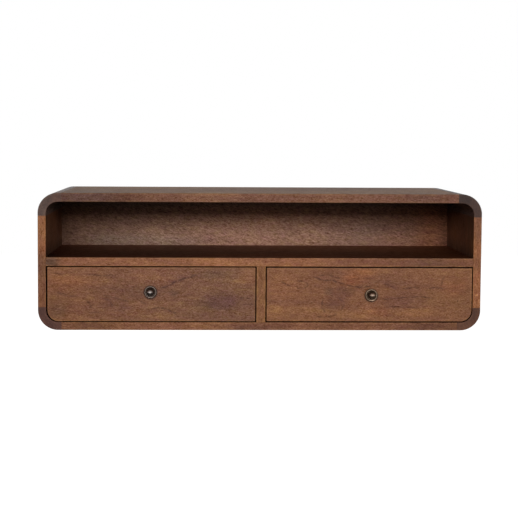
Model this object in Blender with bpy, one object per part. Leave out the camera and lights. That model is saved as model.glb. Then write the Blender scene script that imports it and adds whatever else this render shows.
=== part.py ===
# Wall-mounted console: a round-cornered wooden case with an open compartment over two drawers.
# Lengths are in metres. The front faces -Y, +X is to the right and +Z is up.
# y = 0 is the wall, x = 0 is the middle of the width, and z = 0 is the line of the wall screws.

import math

import bmesh
import bpy
from mathutils import Vector

# Outside of the case
WIDTH = 0.970
HEIGHT = 0.300
DEPTH = 0.300
CORNER_RADIUS = 0.044
SCREW_LINE_BELOW_TOP = 0.044

# Boards of the case
TOP_THICKNESS = 0.0195
BOTTOM_THICKNESS = 0.0175
SIDE_THICKNESS = 0.0175
SHELF_THICKNESS = 0.0195
DIVIDER_THICKNESS = 0.020
DIVIDER_OFFSET = 0.0014
DRAWER_OPENING_HEIGHT = 0.123

# Corner blocks: straight wood past the rounding, before the joint with a board
BLOCK_RUN_ALONG_WIDTH = 0.007
BLOCK_RUN_ALONG_HEIGHT = 0.006

# Joints of the case
JOINT_GAP = 0.0003
EDGE_EASE = 0.0012
HOUSING_DEPTH = 0.006
HOUSING_STOP = 0.012
TONGUE_THICKNESS = 0.006
TONGUE_WIDTH = 0.024
TONGUE_FRONT_STOP = 0.022
TONGUE_REAR_STOP = 0.018

# Back panel and the rails behind it
PANEL_THICKNESS = 0.009
PANEL_GROOVE_DEPTH = 0.006
RAIL_THICKNESS = 0.0187
HANGING_RAIL_HEIGHT = 0.062
LOWER_RAIL_HEIGHT = 0.040

# Keyhole plates that hang the case on two wall screws
PLATE_FROM_SIDE = 0.135
PLATE_WIDTH = 0.018
PLATE_THICKNESS = 0.002
PLATE_END_MARGIN = 0.006
PLATE_SCREW_MARGIN = 0.0075
KEYHOLE_ENTRY_RADIUS = 0.005
KEYHOLE_SLOT_WIDTH = 0.0052
KEYHOLE_DROP = 0.014
POCKET_MARGIN = 0.002
POCKET_DEPTH = 0.010

# Drawer fronts
DRAWER_GAP = 0.002
LEFT_DRAWER_OUTER_GAP = 0.0027
FRONT_THICKNESS = 0.019
FRONT_CORNER_RADIUS = 0.0018

# Drawer boxes
BOX_SIDE_CLEARANCE = 0.006
BOX_FOOT_CLEARANCE = 0.0028
BOX_HEADROOM = 0.0165
BOX_REAR_CLEARANCE = 0.010
BOX_SIDE_THICKNESS = 0.012
BOX_BACK_THICKNESS = 0.012
BOX_BACK_INSET = 0.010
BOX_BACK_DROP = 0.008
BOX_BOTTOM_THICKNESS = 0.005
BOX_BOTTOM_LIFT = 0.008
BOX_FRONT_JOINT_DEPTH = 0.006
BOX_BACK_JOINT_DEPTH = 0.003
BOX_BOTTOM_GROOVE_DEPTH = 0.005
BOX_EDGE_EASE = 0.0008

# Wooden runners and the grooves that ride on them
RUNNER_HEIGHT = 0.016
RUNNER_GROOVE_DEPTH = 0.006
RUNNER_SIDE_PLAY = 0.0005
RUNNER_LOWER_PLAY = 0.0007
RUNNER_STOP_SETBACK = 0.012

# Screws
WOOD_SCREW_RADIUS = 0.00175
WOOD_SCREW_HEAD_RADIUS = 0.0034
WOOD_SCREW_RIM = 0.0003
WOOD_SCREW_TIP = 0.004
RUNNER_SCREW_LENGTH = 0.019
RUNNER_SCREW_FRONT_INSET = 0.045
RUNNER_SCREW_REAR_INSET = 0.035
PLATE_SCREW_LENGTH = 0.014
KNOB_SCREW_RADIUS = 0.002
KNOB_SCREW_HEAD_RADIUS = 0.004
KNOB_SCREW_HEAD_HEIGHT = 0.0026
KNOB_SCREW_GRIP = 0.008
WASHER_RADIUS = 0.006
WASHER_THICKNESS = 0.001

# Brass knobs and their dished rosettes
LEFT_KNOB_RISE = 0.0048
RIGHT_KNOB_RISE = -0.0010
LEFT_KNOB_SHIFT = -0.0024
RIGHT_KNOB_SHIFT = 0.0040
ROSETTE_RADIUS = 0.0135
ROSETTE_RIM_HEIGHT = 0.0048
ROSETTE_RIM_WIDTH = 0.0018
ROSETTE_FLOOR = 0.0016
KNOB_BALL_RADIUS = 0.0070
KNOB_NECK_RADIUS = 0.0034
KNOB_FOOT_RADIUS = 0.0050
KNOB_NECK_LENGTH = 0.0090

# Fineness of the round shapes
CORNER_STEPS = 14
SMALL_CORNER_STEPS = 2
EASE_STEPS = 2
TURNED_STEPS = 28
SCREW_STEPS = 12
BALL_STEPS = 12

# Places that follow from the sizes above
TOP_Z = SCREW_LINE_BELOW_TOP
BASE_Z = TOP_Z - HEIGHT
FRONT_Y = -DEPTH
HALF_WIDTH = WIDTH / 2
INSIDE_X = HALF_WIDTH - SIDE_THICKNESS
FLOOR_Z = BASE_Z + BOTTOM_THICKNESS
SHELF_LOW_Z = FLOOR_Z + DRAWER_OPENING_HEIGHT
SHELF_TOP_Z = SHELF_LOW_Z + SHELF_THICKNESS
CEILING_Z = TOP_Z - TOP_THICKNESS
INSIDE_RADIUS = max(CORNER_RADIUS - SIDE_THICKNESS, EDGE_EASE)
BLOCK_WIDTH = CORNER_RADIUS + BLOCK_RUN_ALONG_WIDTH
BLOCK_HEIGHT = CORNER_RADIUS + BLOCK_RUN_ALONG_HEIGHT
PANEL_REAR_Y = -RAIL_THICKNESS - JOINT_GAP
PANEL_FRONT_Y = PANEL_REAR_Y - PANEL_THICKNESS
DIVIDER_LEFT_X = DIVIDER_OFFSET - DIVIDER_THICKNESS / 2
DIVIDER_RIGHT_X = DIVIDER_OFFSET + DIVIDER_THICKNESS / 2


def clear_scene():
    for old in list(bpy.data.objects):
        bpy.data.objects.remove(old)


def make_material(name, color, roughness, metallic=0.0):
    material = bpy.data.materials.new(name)
    material.use_nodes = True
    shader = material.node_tree.nodes["Principled BSDF"]
    shader.inputs["Base Color"].default_value = (*color, 1.0)
    shader.inputs["Roughness"].default_value = roughness
    shader.inputs["Metallic"].default_value = metallic
    material.diffuse_color = (*color, 1.0)
    return material


# Shapes

def rounding(ease):
    # Depth behind the edge and inset from the side, along a quarter circle
    angles = [math.pi / 2 * step / EASE_STEPS for step in range(EASE_STEPS + 1)]
    return [(ease * (1 - math.cos(a)), ease * (1 - math.sin(a))) for a in angles]


def arc(center_x, center_z, radius, start, end, steps):
    angles = [start + (end - start) * step / steps for step in range(steps + 1)]
    return [(center_x + radius * math.cos(a), center_z + radius * math.sin(a)) for a in angles]


def rounded_rectangle(low_x, high_x, low_z, high_z, radii, inset=0.0):
    # radii: lower left, lower right, upper right and upper left corner
    corners = [
        (low_x, low_z, 1, 1, math.pi),
        (high_x, low_z, -1, 1, 1.5 * math.pi),
        (high_x, high_z, -1, -1, 0.0),
        (low_x, high_z, 1, -1, 0.5 * math.pi),
    ]
    outline = []
    for (x, z, way_x, way_z, start), radius in zip(corners, radii):
        steps = CORNER_STEPS if radius > 2 * FRONT_CORNER_RADIUS else SMALL_CORNER_STEPS
        middle_x = x + way_x * radius
        middle_z = z + way_z * radius
        outline += arc(middle_x, middle_z, radius - inset, start, start + math.pi / 2, steps)
    return outline


def loft(sections):
    # One closed body through outlines that have the same number of points
    shape = bmesh.new()
    rings = [[shape.verts.new(point) for point in section] for section in sections]
    shape.faces.new(rings[0])
    shape.faces.new(reversed(rings[-1]))
    for near, far in zip(rings, rings[1:]):
        for i in range(len(near)):
            j = (i + 1) % len(near)
            shape.faces.new((near[i], near[j], far[j], far[i]))
    bmesh.ops.recalc_face_normals(shape, faces=shape.faces)
    return shape


def eased_prism(outline, front_y, rear_y, ease=EDGE_EASE):
    # outline(inset) gives the shape in X and Z, drawn in by the inset at the rounded ends
    stations = [(front_y + depth, inset) for depth, inset in rounding(ease)]
    stations += [(rear_y - depth, inset) for depth, inset in reversed(rounding(ease))]
    return loft([[(x, y, z) for x, z in outline(inset)] for y, inset in stations])


def prism(outline, front_y, rear_y):
    return loft([[(x, y, z) for x, z in outline] for y in (front_y, rear_y)])


def block(low, high):
    shape = bmesh.new()
    bmesh.ops.create_cube(shape, size=1.0)
    for vertex in shape.verts:
        vertex.co = [a + (b - a) * (c + 0.5) for a, b, c in zip(low, high, vertex.co)]
    return shape


def grown(low, high, by):
    return [value - by for value in low], [value + by for value in high]


def turned(profile, steps):
    # profile: (radius, distance along +Y). It is a closed loop where it doesn't start on the axis
    shape = bmesh.new()
    rings = []
    for radius, along in profile:
        count = steps if radius > 0 else 1
        angles = [2 * math.pi * step / steps for step in range(count)]
        rings.append([
            shape.verts.new((radius * math.cos(a), along, radius * math.sin(a))) for a in angles
        ])
    pairs = list(zip(rings, rings[1:]))
    if profile[0][0] > 0:
        pairs.append((rings[-1], rings[0]))
    for near, far in pairs:
        for i in range(steps):
            j = (i + 1) % steps
            loop = [near[i % len(near)], near[j % len(near)], far[j % len(far)], far[i % len(far)]]
            corners = list(dict.fromkeys(loop))
            if len(corners) > 2:
                shape.faces.new(corners)
    bmesh.ops.recalc_face_normals(shape, faces=shape.faces)
    return shape


# Objects

def center_of(shape):
    low = [min(vertex.co[axis] for vertex in shape.verts) for axis in range(3)]
    high = [max(vertex.co[axis] for vertex in shape.verts) for axis in range(3)]
    return (Vector(low) + Vector(high)) / 2


def add_piece(name, shape, material, parent):
    # The object's origin is the middle of its shape, and its location is counted from its parent
    middle = center_of(shape)
    bmesh.ops.translate(shape, vec=-middle, verts=shape.verts)
    mesh = bpy.data.meshes.new(name)
    shape.to_mesh(mesh)
    shape.free()
    mesh.materials.append(material)
    mesh.shade_smooth()
    mesh.set_sharp_from_angle(angle=math.radians(32))
    piece = bpy.data.objects.new(name, mesh)
    bpy.context.scene.collection.objects.link(piece)
    piece.parent = parent
    piece.location = middle - parent.location
    return piece


def add_block(name, low, high, material, parent, ease=BOX_EDGE_EASE):
    piece = add_piece(name, block(low, high), material, parent)
    bevel = piece.modifiers.new("eased edges", "BEVEL")
    bevel.width = ease
    bevel.segments = 1
    return piece


def add_empty(name, location):
    empty = bpy.data.objects.new(name, None)
    empty.empty_display_size = 0.03
    empty.location = location
    bpy.context.scene.collection.objects.link(empty)
    return empty


def add_cutter(name, shape):
    mesh = bpy.data.meshes.new(name)
    shape.to_mesh(mesh)
    shape.free()
    cutter = bpy.data.objects.new(name, mesh)
    cutter.hide_render = True
    cutter.display_type = "WIRE"
    bpy.context.scene.collection.objects.link(cutter)
    return cutter


def cut(piece, cutter):
    modifier = piece.modifiers.new(cutter.name, "BOOLEAN")
    modifier.operation = "DIFFERENCE"
    modifier.solver = "EXACT"
    modifier.object = cutter


# Screws

def wood_screw_profile(length, grow=0.0):
    # A countersunk screw with its head's flat top at 0. A grown one cuts the hole for it
    top = -4 * grow
    shank = WOOD_SCREW_RADIUS + grow
    head = WOOD_SCREW_HEAD_RADIUS + grow
    cone_end = WOOD_SCREW_RIM + WOOD_SCREW_HEAD_RADIUS - WOOD_SCREW_RADIUS
    return [
        (0.0, top),
        (head, top),
        (head, WOOD_SCREW_RIM),
        (shank, cone_end),
        (shank, length - WOOD_SCREW_TIP + grow),
        (0.0, length + 2 * grow),
    ]


def add_wood_screw(name, head_point, direction, length, material, parent, into):
    turn = Vector((0, 1, 0)).rotation_difference(Vector(direction))
    screw = add_piece(name, turned(wood_screw_profile(length), SCREW_STEPS), material, parent)
    screw.rotation_mode = "QUATERNION"
    screw.rotation_quaternion = turn
    screw.location = Vector(head_point) + turn @ screw.location
    hole = add_cutter(name + "_hole", turned(wood_screw_profile(length, JOINT_GAP), SCREW_STEPS))
    hole.rotation_mode = "QUATERNION"
    hole.rotation_quaternion = turn
    hole.location = head_point
    for piece in into:
        cut(piece, hole)
    return screw


# Case

def corner_outline(thickness, inset):
    # Lower left corner, counted from the outer edges of the case
    outer = CORNER_RADIUS
    inner_x = SIDE_THICKNESS + INSIDE_RADIUS
    inner_z = thickness + INSIDE_RADIUS
    outline = [(BLOCK_WIDTH, inset)]
    outline += arc(outer, outer, outer - inset, 1.5 * math.pi, math.pi, CORNER_STEPS)
    outline += [(inset, BLOCK_HEIGHT), (SIDE_THICKNESS - inset, BLOCK_HEIGHT)]
    outline += arc(inner_x, inner_z, INSIDE_RADIUS + inset, math.pi, 1.5 * math.pi, CORNER_STEPS)
    outline += [(BLOCK_WIDTH, thickness - inset)]
    return outline


def make_corner_block(name, side, level, material, case):
    # side: -1 left, 1 right. level: -1 bottom, 1 top
    thickness = TOP_THICKNESS if level > 0 else BOTTOM_THICKNESS
    edge_z = TOP_Z if level > 0 else BASE_Z

    def outline(inset):
        return [
            (side * (HALF_WIDTH - u), edge_z - level * v) for u, v in corner_outline(thickness, inset)
        ]

    return add_piece(name, eased_prism(outline, FRONT_Y, 0.0), material, case)


def make_flat_board(name, low_z, high_z, material, case):
    end_x = HALF_WIDTH - BLOCK_WIDTH - JOINT_GAP

    def outline(inset):
        return [
            (-end_x, low_z + inset),
            (end_x, low_z + inset),
            (end_x, high_z - inset),
            (-end_x, high_z - inset),
        ]

    return add_piece(name, eased_prism(outline, FRONT_Y, 0.0), material, case)


def make_side_board(name, side, material, case):
    low_z = BASE_Z + BLOCK_HEIGHT + JOINT_GAP
    high_z = TOP_Z - BLOCK_HEIGHT - JOINT_GAP

    def outline(inset):
        return [
            (side * (HALF_WIDTH - inset), low_z),
            (side * (HALF_WIDTH - inset), high_z),
            (side * (INSIDE_X + inset), high_z),
            (side * (INSIDE_X + inset), low_z),
        ]

    return add_piece(name, eased_prism(outline, FRONT_Y, 0.0), material, case)


def add_corner_tongue(name, middle_x, middle_z, flat, block_piece, board_piece, material, case):
    # A loose tongue glued half into the corner block and half into the board
    half_x = TONGUE_WIDTH / 2 if flat else TONGUE_THICKNESS / 2
    half_z = TONGUE_THICKNESS / 2 if flat else TONGUE_WIDTH / 2
    low = (middle_x - half_x, FRONT_Y + TONGUE_FRONT_STOP, middle_z - half_z)
    high = (middle_x + half_x, PANEL_FRONT_Y - TONGUE_REAR_STOP, middle_z + half_z)
    slot = add_cutter(name + "_slot", block(*grown(low, high, JOINT_GAP)))
    cut(block_piece, slot)
    cut(board_piece, slot)
    add_piece(name, block(low, high), material, case)


def make_ring(case, materials):
    # The four boards and four corner blocks that go round the case
    board = materials["board"]
    ring = {
        "top": make_flat_board("top_board", CEILING_Z, TOP_Z, board, case),
        "bottom": make_flat_board("bottom_board", BASE_Z, FLOOR_Z, board, case),
        "left": make_side_board("left_side_board", -1, board, case),
        "right": make_side_board("right_side_board", 1, board, case),
    }
    for level_name, level in (("top", 1), ("bottom", -1)):
        thickness = TOP_THICKNESS if level > 0 else BOTTOM_THICKNESS
        edge_z = TOP_Z if level > 0 else BASE_Z
        for side_name, side in (("left", -1), ("right", 1)):
            where = f"{level_name}_{side_name}"
            corner = make_corner_block(f"corner_block_{where}", side, level, materials["end grain"], case)
            ring[where] = corner
            joint_x = side * (HALF_WIDTH - BLOCK_WIDTH - JOINT_GAP / 2)
            joint_z = edge_z - level * (BLOCK_HEIGHT + JOINT_GAP / 2)
            board_z = edge_z - level * thickness / 2
            side_x = side * (HALF_WIDTH - SIDE_THICKNESS / 2)
            add_corner_tongue(
                f"flat_tongue_{where}", joint_x, board_z, True,
                corner, ring[level_name], materials["inner"], case,
            )
            add_corner_tongue(
                f"upright_tongue_{where}", side_x, joint_z, False,
                corner, ring[side_name], materials["inner"], case,
            )
    return ring


def make_shelf(ring, case, material):
    end_x = INSIDE_X + HOUSING_DEPTH - JOINT_GAP
    rear_y = PANEL_FRONT_Y - JOINT_GAP

    def outline(inset):
        return [
            (-end_x, SHELF_LOW_Z + inset),
            (end_x, SHELF_LOW_Z + inset),
            (end_x, SHELF_TOP_Z - inset),
            (-end_x, SHELF_TOP_Z - inset),
        ]

    shelf = add_piece("middle_shelf", eased_prism(outline, FRONT_Y, rear_y), material, case)
    for side_name, side in (("left", -1), ("right", 1)):
        near_x, far_x = sorted((side * (INSIDE_X - JOINT_GAP), side * HALF_WIDTH))
        low = (near_x, FRONT_Y - EDGE_EASE, SHELF_LOW_Z - EDGE_EASE)
        high = (far_x, FRONT_Y + HOUSING_STOP + JOINT_GAP, SHELF_TOP_Z + EDGE_EASE)
        cut(shelf, add_cutter(f"shelf_notch_{side_name}", block(low, high)))
        near_x, far_x = sorted((side * (INSIDE_X - EDGE_EASE), side * (INSIDE_X + HOUSING_DEPTH)))
        low = (near_x, FRONT_Y + HOUSING_STOP, SHELF_LOW_Z - JOINT_GAP)
        high = (far_x, rear_y + JOINT_GAP, SHELF_TOP_Z + JOINT_GAP)
        cut(ring[side_name], add_cutter(f"shelf_housing_{side_name}", block(low, high)))
    return shelf


def make_divider(ring, shelf, case, material):
    low_z = FLOOR_Z - HOUSING_DEPTH + JOINT_GAP
    high_z = SHELF_LOW_Z + HOUSING_DEPTH - JOINT_GAP
    rear_y = PANEL_FRONT_Y - JOINT_GAP

    def outline(inset):
        return [
            (DIVIDER_LEFT_X + inset, low_z),
            (DIVIDER_RIGHT_X - inset, low_z),
            (DIVIDER_RIGHT_X - inset, high_z),
            (DIVIDER_LEFT_X + inset, high_z),
        ]

    divider = add_piece("center_divider", eased_prism(outline, FRONT_Y, rear_y), material, case)
    wide = (DIVIDER_LEFT_X - EDGE_EASE, DIVIDER_RIGHT_X + EDGE_EASE)
    snug = (DIVIDER_LEFT_X - JOINT_GAP, DIVIDER_RIGHT_X + JOINT_GAP)
    ends = [
        ("lower", ring["bottom"], low_z, FLOOR_Z, -1),
        ("upper", shelf, high_z, SHELF_LOW_Z, 1),
    ]
    for end_name, neighbor, tip_z, face_z, way in ends:
        low_cut, high_cut = sorted((face_z - way * JOINT_GAP, tip_z + way * EDGE_EASE))
        low = (wide[0], FRONT_Y - EDGE_EASE, low_cut)
        high = (wide[1], FRONT_Y + HOUSING_STOP + JOINT_GAP, high_cut)
        cut(divider, add_cutter(f"divider_notch_{end_name}", block(low, high)))
        low_cut, high_cut = sorted((face_z - way * EDGE_EASE, face_z + way * HOUSING_DEPTH))
        low = (snug[0], FRONT_Y + HOUSING_STOP, low_cut)
        high = (snug[1], rear_y + JOINT_GAP, high_cut)
        cut(neighbor, add_cutter(f"divider_housing_{end_name}", block(low, high)))
    return divider


def inside_outline(out, lower_round=True, upper_round=True, low_z=FLOOR_Z, high_z=CEILING_Z):
    # The inside of the ring, moved outward by out
    radius = INSIDE_RADIUS + out
    lower = radius if lower_round else FRONT_CORNER_RADIUS
    upper = radius if upper_round else FRONT_CORNER_RADIUS
    return rounded_rectangle(
        -INSIDE_X - out, INSIDE_X + out, low_z - out, high_z + out, (lower, lower, upper, upper)
    )


def make_back_panel(ring, case, material):
    panel = prism(inside_outline(PANEL_GROOVE_DEPTH - JOINT_GAP), PANEL_FRONT_Y, PANEL_REAR_Y)
    groove = prism(
        inside_outline(PANEL_GROOVE_DEPTH), PANEL_FRONT_Y - JOINT_GAP, PANEL_REAR_Y + JOINT_GAP
    )
    groove_cutter = add_cutter("back_panel_groove", groove)
    for piece in ring.values():
        cut(piece, groove_cutter)
    return add_piece("back_panel", panel, material, case)


def make_rails(case, material):
    upper = inside_outline(
        -JOINT_GAP, lower_round=False, low_z=CEILING_Z - HANGING_RAIL_HEIGHT - JOINT_GAP
    )
    lower = inside_outline(
        -JOINT_GAP, upper_round=False, high_z=FLOOR_Z + LOWER_RAIL_HEIGHT + JOINT_GAP
    )
    add_piece("lower_rear_rail", prism(lower, -RAIL_THICKNESS, 0.0), material, case)
    return add_piece("hanging_rail", prism(upper, -RAIL_THICKNESS, 0.0), material, case)


def keyhole_outline(middle_x):
    # A round entry below a slot, whose upper end is on the line of the wall screws
    slot = KEYHOLE_SLOT_WIDTH / 2
    spread = math.asin(slot / KEYHOLE_ENTRY_RADIUS)
    outline = arc(middle_x, 0.0, slot, 0.0, math.pi, CORNER_STEPS // 2)
    outline += arc(
        middle_x, -KEYHOLE_DROP, KEYHOLE_ENTRY_RADIUS,
        math.pi / 2 + spread, 2.5 * math.pi - spread, 2 * CORNER_STEPS,
    )
    return outline


def make_keyhole_plate(side_name, side, rail, case, material):
    middle_x = side * (WIDTH / 2 - PLATE_FROM_SIDE)
    upper_screw_z = KEYHOLE_SLOT_WIDTH / 2 + PLATE_SCREW_MARGIN
    lower_screw_z = -KEYHOLE_DROP - KEYHOLE_ENTRY_RADIUS - PLATE_SCREW_MARGIN
    low = (middle_x - PLATE_WIDTH / 2, -PLATE_THICKNESS, lower_screw_z - PLATE_END_MARGIN)
    high = (middle_x + PLATE_WIDTH / 2, 0.0, upper_screw_z + PLATE_END_MARGIN)
    plate = add_piece(f"{side_name}_keyhole_plate", block(low, high), material, case)
    past = PLATE_THICKNESS
    keyhole = prism(keyhole_outline(middle_x), -PLATE_THICKNESS - past, past)
    cut(plate, add_cutter(f"{side_name}_keyhole", keyhole))

    recess_low, recess_high = grown(low, high, JOINT_GAP)
    recess_high[1] = past
    cut(rail, add_cutter(f"{side_name}_plate_recess", block(recess_low, recess_high)))
    half = KEYHOLE_ENTRY_RADIUS + POCKET_MARGIN
    pocket_low = (middle_x - half, -PLATE_THICKNESS - POCKET_DEPTH, -KEYHOLE_DROP - half)
    pocket_high = (middle_x + half, 0.0, KEYHOLE_SLOT_WIDTH / 2 + POCKET_MARGIN)
    cut(rail, add_cutter(f"{side_name}_keyhole_pocket", block(pocket_low, pocket_high)))

    for place, z in (("upper", upper_screw_z), ("lower", lower_screw_z)):
        add_wood_screw(
            f"{side_name}_plate_{place}_screw", (middle_x, 0.0, z), (0, -1, 0),
            PLATE_SCREW_LENGTH, material, case, (plate, rail),
        )


# Drawers

def corner_rise(radius, distance):
    # Height of a round inner corner above its floor, at a distance from its wall
    reach = max(radius - distance, 0.0)
    return radius - math.sqrt(radius * radius - reach * reach)


BOX_LOW_Z = FLOOR_Z + corner_rise(INSIDE_RADIUS, BOX_SIDE_CLEARANCE) + BOX_FOOT_CLEARANCE
BOX_HIGH_Z = SHELF_LOW_Z - BOX_HEADROOM
BOX_REAR_Y = PANEL_FRONT_Y - BOX_REAR_CLEARANCE
FRONT_REAR_Y = FRONT_Y + FRONT_THICKNESS
RUNNER_TOP_Z = (BOX_LOW_Z + BOX_HIGH_Z + RUNNER_HEIGHT) / 2
GROOVE_FRONT_Y = FRONT_REAR_Y + RUNNER_STOP_SETBACK


def drawer_front_shape(outer_x, inner_x, side):
    low_x, high_x = sorted((outer_x, inner_x))
    round_radius = max(INSIDE_RADIUS - DRAWER_GAP, FRONT_CORNER_RADIUS)
    small = FRONT_CORNER_RADIUS
    radii = (round_radius, small, small, small) if side < 0 else (small, round_radius, small, small)

    def outline(inset):
        return rounded_rectangle(
            low_x, high_x, FLOOR_Z + DRAWER_GAP, SHELF_LOW_Z - DRAWER_GAP, radii, inset
        )

    return eased_prism(outline, FRONT_Y, FRONT_REAR_Y)


def add_box_side(name, wall_x, way, front, material, parent):
    # wall_x: face of the case beside it. way: direction from that wall into the drawer
    outer_x = wall_x + way * BOX_SIDE_CLEARANCE
    inner_x = outer_x + way * BOX_SIDE_THICKNESS
    low_x, high_x = sorted((outer_x, inner_x))
    low = (low_x, FRONT_REAR_Y - BOX_FRONT_JOINT_DEPTH + JOINT_GAP, BOX_LOW_Z)
    high = (high_x, BOX_REAR_Y, BOX_HIGH_Z)
    side_piece = add_block(name, low, high, material, parent)
    cut(front, add_cutter(name + "_housing", block(*grown(low, high, JOINT_GAP))))

    floor_x = outer_x + way * RUNNER_GROOVE_DEPTH
    low_x, high_x = sorted((outer_x - way * JOINT_GAP, floor_x))
    groove_low = (low_x, GROOVE_FRONT_Y, RUNNER_TOP_Z - RUNNER_HEIGHT - RUNNER_LOWER_PLAY)
    groove_high = (high_x, BOX_REAR_Y + JOINT_GAP, RUNNER_TOP_Z + JOINT_GAP)
    cut(side_piece, add_cutter(name + "_runner_groove", block(groove_low, groove_high)))
    return side_piece, inner_x


def add_runner(name, wall_x, way, board, case, materials):
    # The strip that the drawer's side rides on. Its front end also stops the closing drawer
    tip_x = wall_x + way * (BOX_SIDE_CLEARANCE + RUNNER_GROOVE_DEPTH - RUNNER_SIDE_PLAY)
    low_x, high_x = sorted((wall_x + way * JOINT_GAP, tip_x))
    front_y = GROOVE_FRONT_Y + JOINT_GAP
    rear_y = PANEL_FRONT_Y - JOINT_GAP
    low = (low_x, front_y, RUNNER_TOP_Z - RUNNER_HEIGHT)
    high = (high_x, rear_y, RUNNER_TOP_Z)
    runner = add_block(name, low, high, materials["inner"], case)
    middle_z = RUNNER_TOP_Z - RUNNER_HEIGHT / 2
    places = (("front", front_y + RUNNER_SCREW_FRONT_INSET), ("rear", rear_y - RUNNER_SCREW_REAR_INSET))
    for place, y in places:
        add_wood_screw(
            f"{name}_{place}_screw", (tip_x, y, middle_z), (-way, 0, 0),
            RUNNER_SCREW_LENGTH, materials["steel"], case, (runner, board),
        )


def add_box_back(name, left_x, right_x, sides, material, parent):
    front_y = BOX_REAR_Y - BOX_BACK_INSET - BOX_BACK_THICKNESS
    reach = BOX_BACK_JOINT_DEPTH - JOINT_GAP
    low = (left_x - reach, front_y, BOX_LOW_Z)
    high = (right_x + reach, front_y + BOX_BACK_THICKNESS, BOX_HIGH_Z - BOX_BACK_DROP)
    back = add_block(name, low, high, material, parent)
    housing_low, housing_high = grown(low, high, JOINT_GAP)
    housing_low[2] -= BOX_EDGE_EASE
    housing = add_cutter(name + "_housing", block(housing_low, housing_high))
    for side_piece in sides:
        cut(side_piece, housing)
    return back, front_y


def add_box_bottom(name, left_x, right_x, back_y, neighbors, material, parent):
    reach = BOX_BOTTOM_GROOVE_DEPTH - JOINT_GAP
    low_z = BOX_LOW_Z + BOX_BOTTOM_LIFT
    low = (left_x - reach, FRONT_REAR_Y - reach, low_z)
    high = (right_x + reach, back_y + reach, low_z + BOX_BOTTOM_THICKNESS)
    groove = add_cutter(name + "_groove", block(*grown(low, high, JOINT_GAP)))
    for neighbor in neighbors:
        cut(neighbor, groove)
    add_piece(name, block(low, high), material, parent)


def rosette_profile():
    # A dished disc with a raised round rim, bored for the screw
    bore = KNOB_SCREW_RADIUS + JOINT_GAP
    rim = ROSETTE_RIM_WIDTH / 2
    rim_radius = ROSETTE_RADIUS - rim
    crest = ROSETTE_RIM_HEIGHT - rim
    dish_radius = rim_radius - rim
    profile = [(bore, JOINT_GAP), (ROSETTE_RADIUS, JOINT_GAP)]
    for step in range(7):
        angle = math.pi * step / 6
        profile.append((rim_radius + rim * math.cos(angle), crest + rim * math.sin(angle)))
    for share in (0.75, 0.5, 0.25):
        fall = (crest - ROSETTE_FLOOR) * share * share
        profile.append((KNOB_FOOT_RADIUS + (dish_radius - KNOB_FOOT_RADIUS) * share, ROSETTE_FLOOR + fall))
    profile += [(KNOB_FOOT_RADIUS, ROSETTE_FLOOR), (bore, ROSETTE_FLOOR)]
    return [(radius, -out) for radius, out in profile]


def knob_profile():
    # A ball on a waisted neck, bored from behind for the screw
    bore = KNOB_SCREW_RADIUS + JOINT_GAP
    foot = ROSETTE_FLOOR + JOINT_GAP
    neck_end = foot + KNOB_NECK_LENGTH
    meet = math.asin(KNOB_NECK_RADIUS / KNOB_BALL_RADIUS)
    ball = neck_end + KNOB_BALL_RADIUS * math.cos(meet)
    bottom = foot + KNOB_SCREW_GRIP + JOINT_GAP
    flange = KNOB_NECK_LENGTH / 4
    profile = [(0.0, bottom), (bore, bottom), (bore, foot), (KNOB_FOOT_RADIUS, foot)]
    profile += [(KNOB_FOOT_RADIUS, foot + flange), (KNOB_NECK_RADIUS, foot + 2 * flange)]
    for step in range(BALL_STEPS + 1):
        angle = meet + (math.pi - meet) * step / BALL_STEPS
        radius = KNOB_BALL_RADIUS * math.sin(angle) if step < BALL_STEPS else 0.0
        profile.append((radius, ball - KNOB_BALL_RADIUS * math.cos(angle)))
    return [(radius, -out) for radius, out in profile]


def knob_screw_profile():
    # A round-headed machine screw, head towards the inside of the drawer
    head = KNOB_SCREW_HEAD_RADIUS
    height = KNOB_SCREW_HEAD_HEIGHT
    length = WASHER_THICKNESS + 2 * JOINT_GAP + FRONT_THICKNESS + ROSETTE_FLOOR + KNOB_SCREW_GRIP
    profile = [(0.0, height)]
    for step in range(1, 5):
        angle = math.pi / 2 * step / 4
        profile.append((head * math.sin(angle), height / 2 * (1 + math.cos(angle))))
    profile += [(head, 0.0), (KNOB_SCREW_RADIUS, 0.0), (KNOB_SCREW_RADIUS, -length), (0.0, -length)]
    return profile


def add_turned(name, profile, x, y, z, material, parent, steps=TURNED_STEPS):
    shape = turned(profile, steps)
    bmesh.ops.translate(shape, vec=Vector((x, y, z)), verts=shape.verts)
    return add_piece(name, shape, material, parent)


def add_knob(side_name, x, z, front, materials, parent):
    brass = materials["brass"]
    steel = materials["steel"]
    add_turned(f"{side_name}_knob_rosette", rosette_profile(), x, FRONT_Y, z, brass, parent)
    add_turned(f"{side_name}_knob", knob_profile(), x, FRONT_Y, z, brass, parent)
    washer_y = FRONT_REAR_Y + JOINT_GAP
    bore = KNOB_SCREW_RADIUS + JOINT_GAP
    washer = [
        (bore, 0.0), (WASHER_RADIUS, 0.0), (WASHER_RADIUS, WASHER_THICKNESS), (bore, WASHER_THICKNESS)
    ]
    add_turned(f"{side_name}_knob_washer", washer, x, washer_y, z, steel, parent, SCREW_STEPS)
    head_y = washer_y + WASHER_THICKNESS + JOINT_GAP
    add_turned(
        f"{side_name}_knob_screw", knob_screw_profile(), x, head_y, z, steel, parent, SCREW_STEPS
    )
    hole = [(0.0, -FRONT_THICKNESS), (bore, -FRONT_THICKNESS), (bore, 2 * FRONT_THICKNESS)]
    hole += [(0.0, 2 * FRONT_THICKNESS)]
    shape = turned(hole, SCREW_STEPS)
    bmesh.ops.translate(shape, vec=Vector((x, FRONT_Y, z)), verts=shape.verts)
    cut(front, add_cutter(f"{side_name}_knob_hole", shape))


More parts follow.
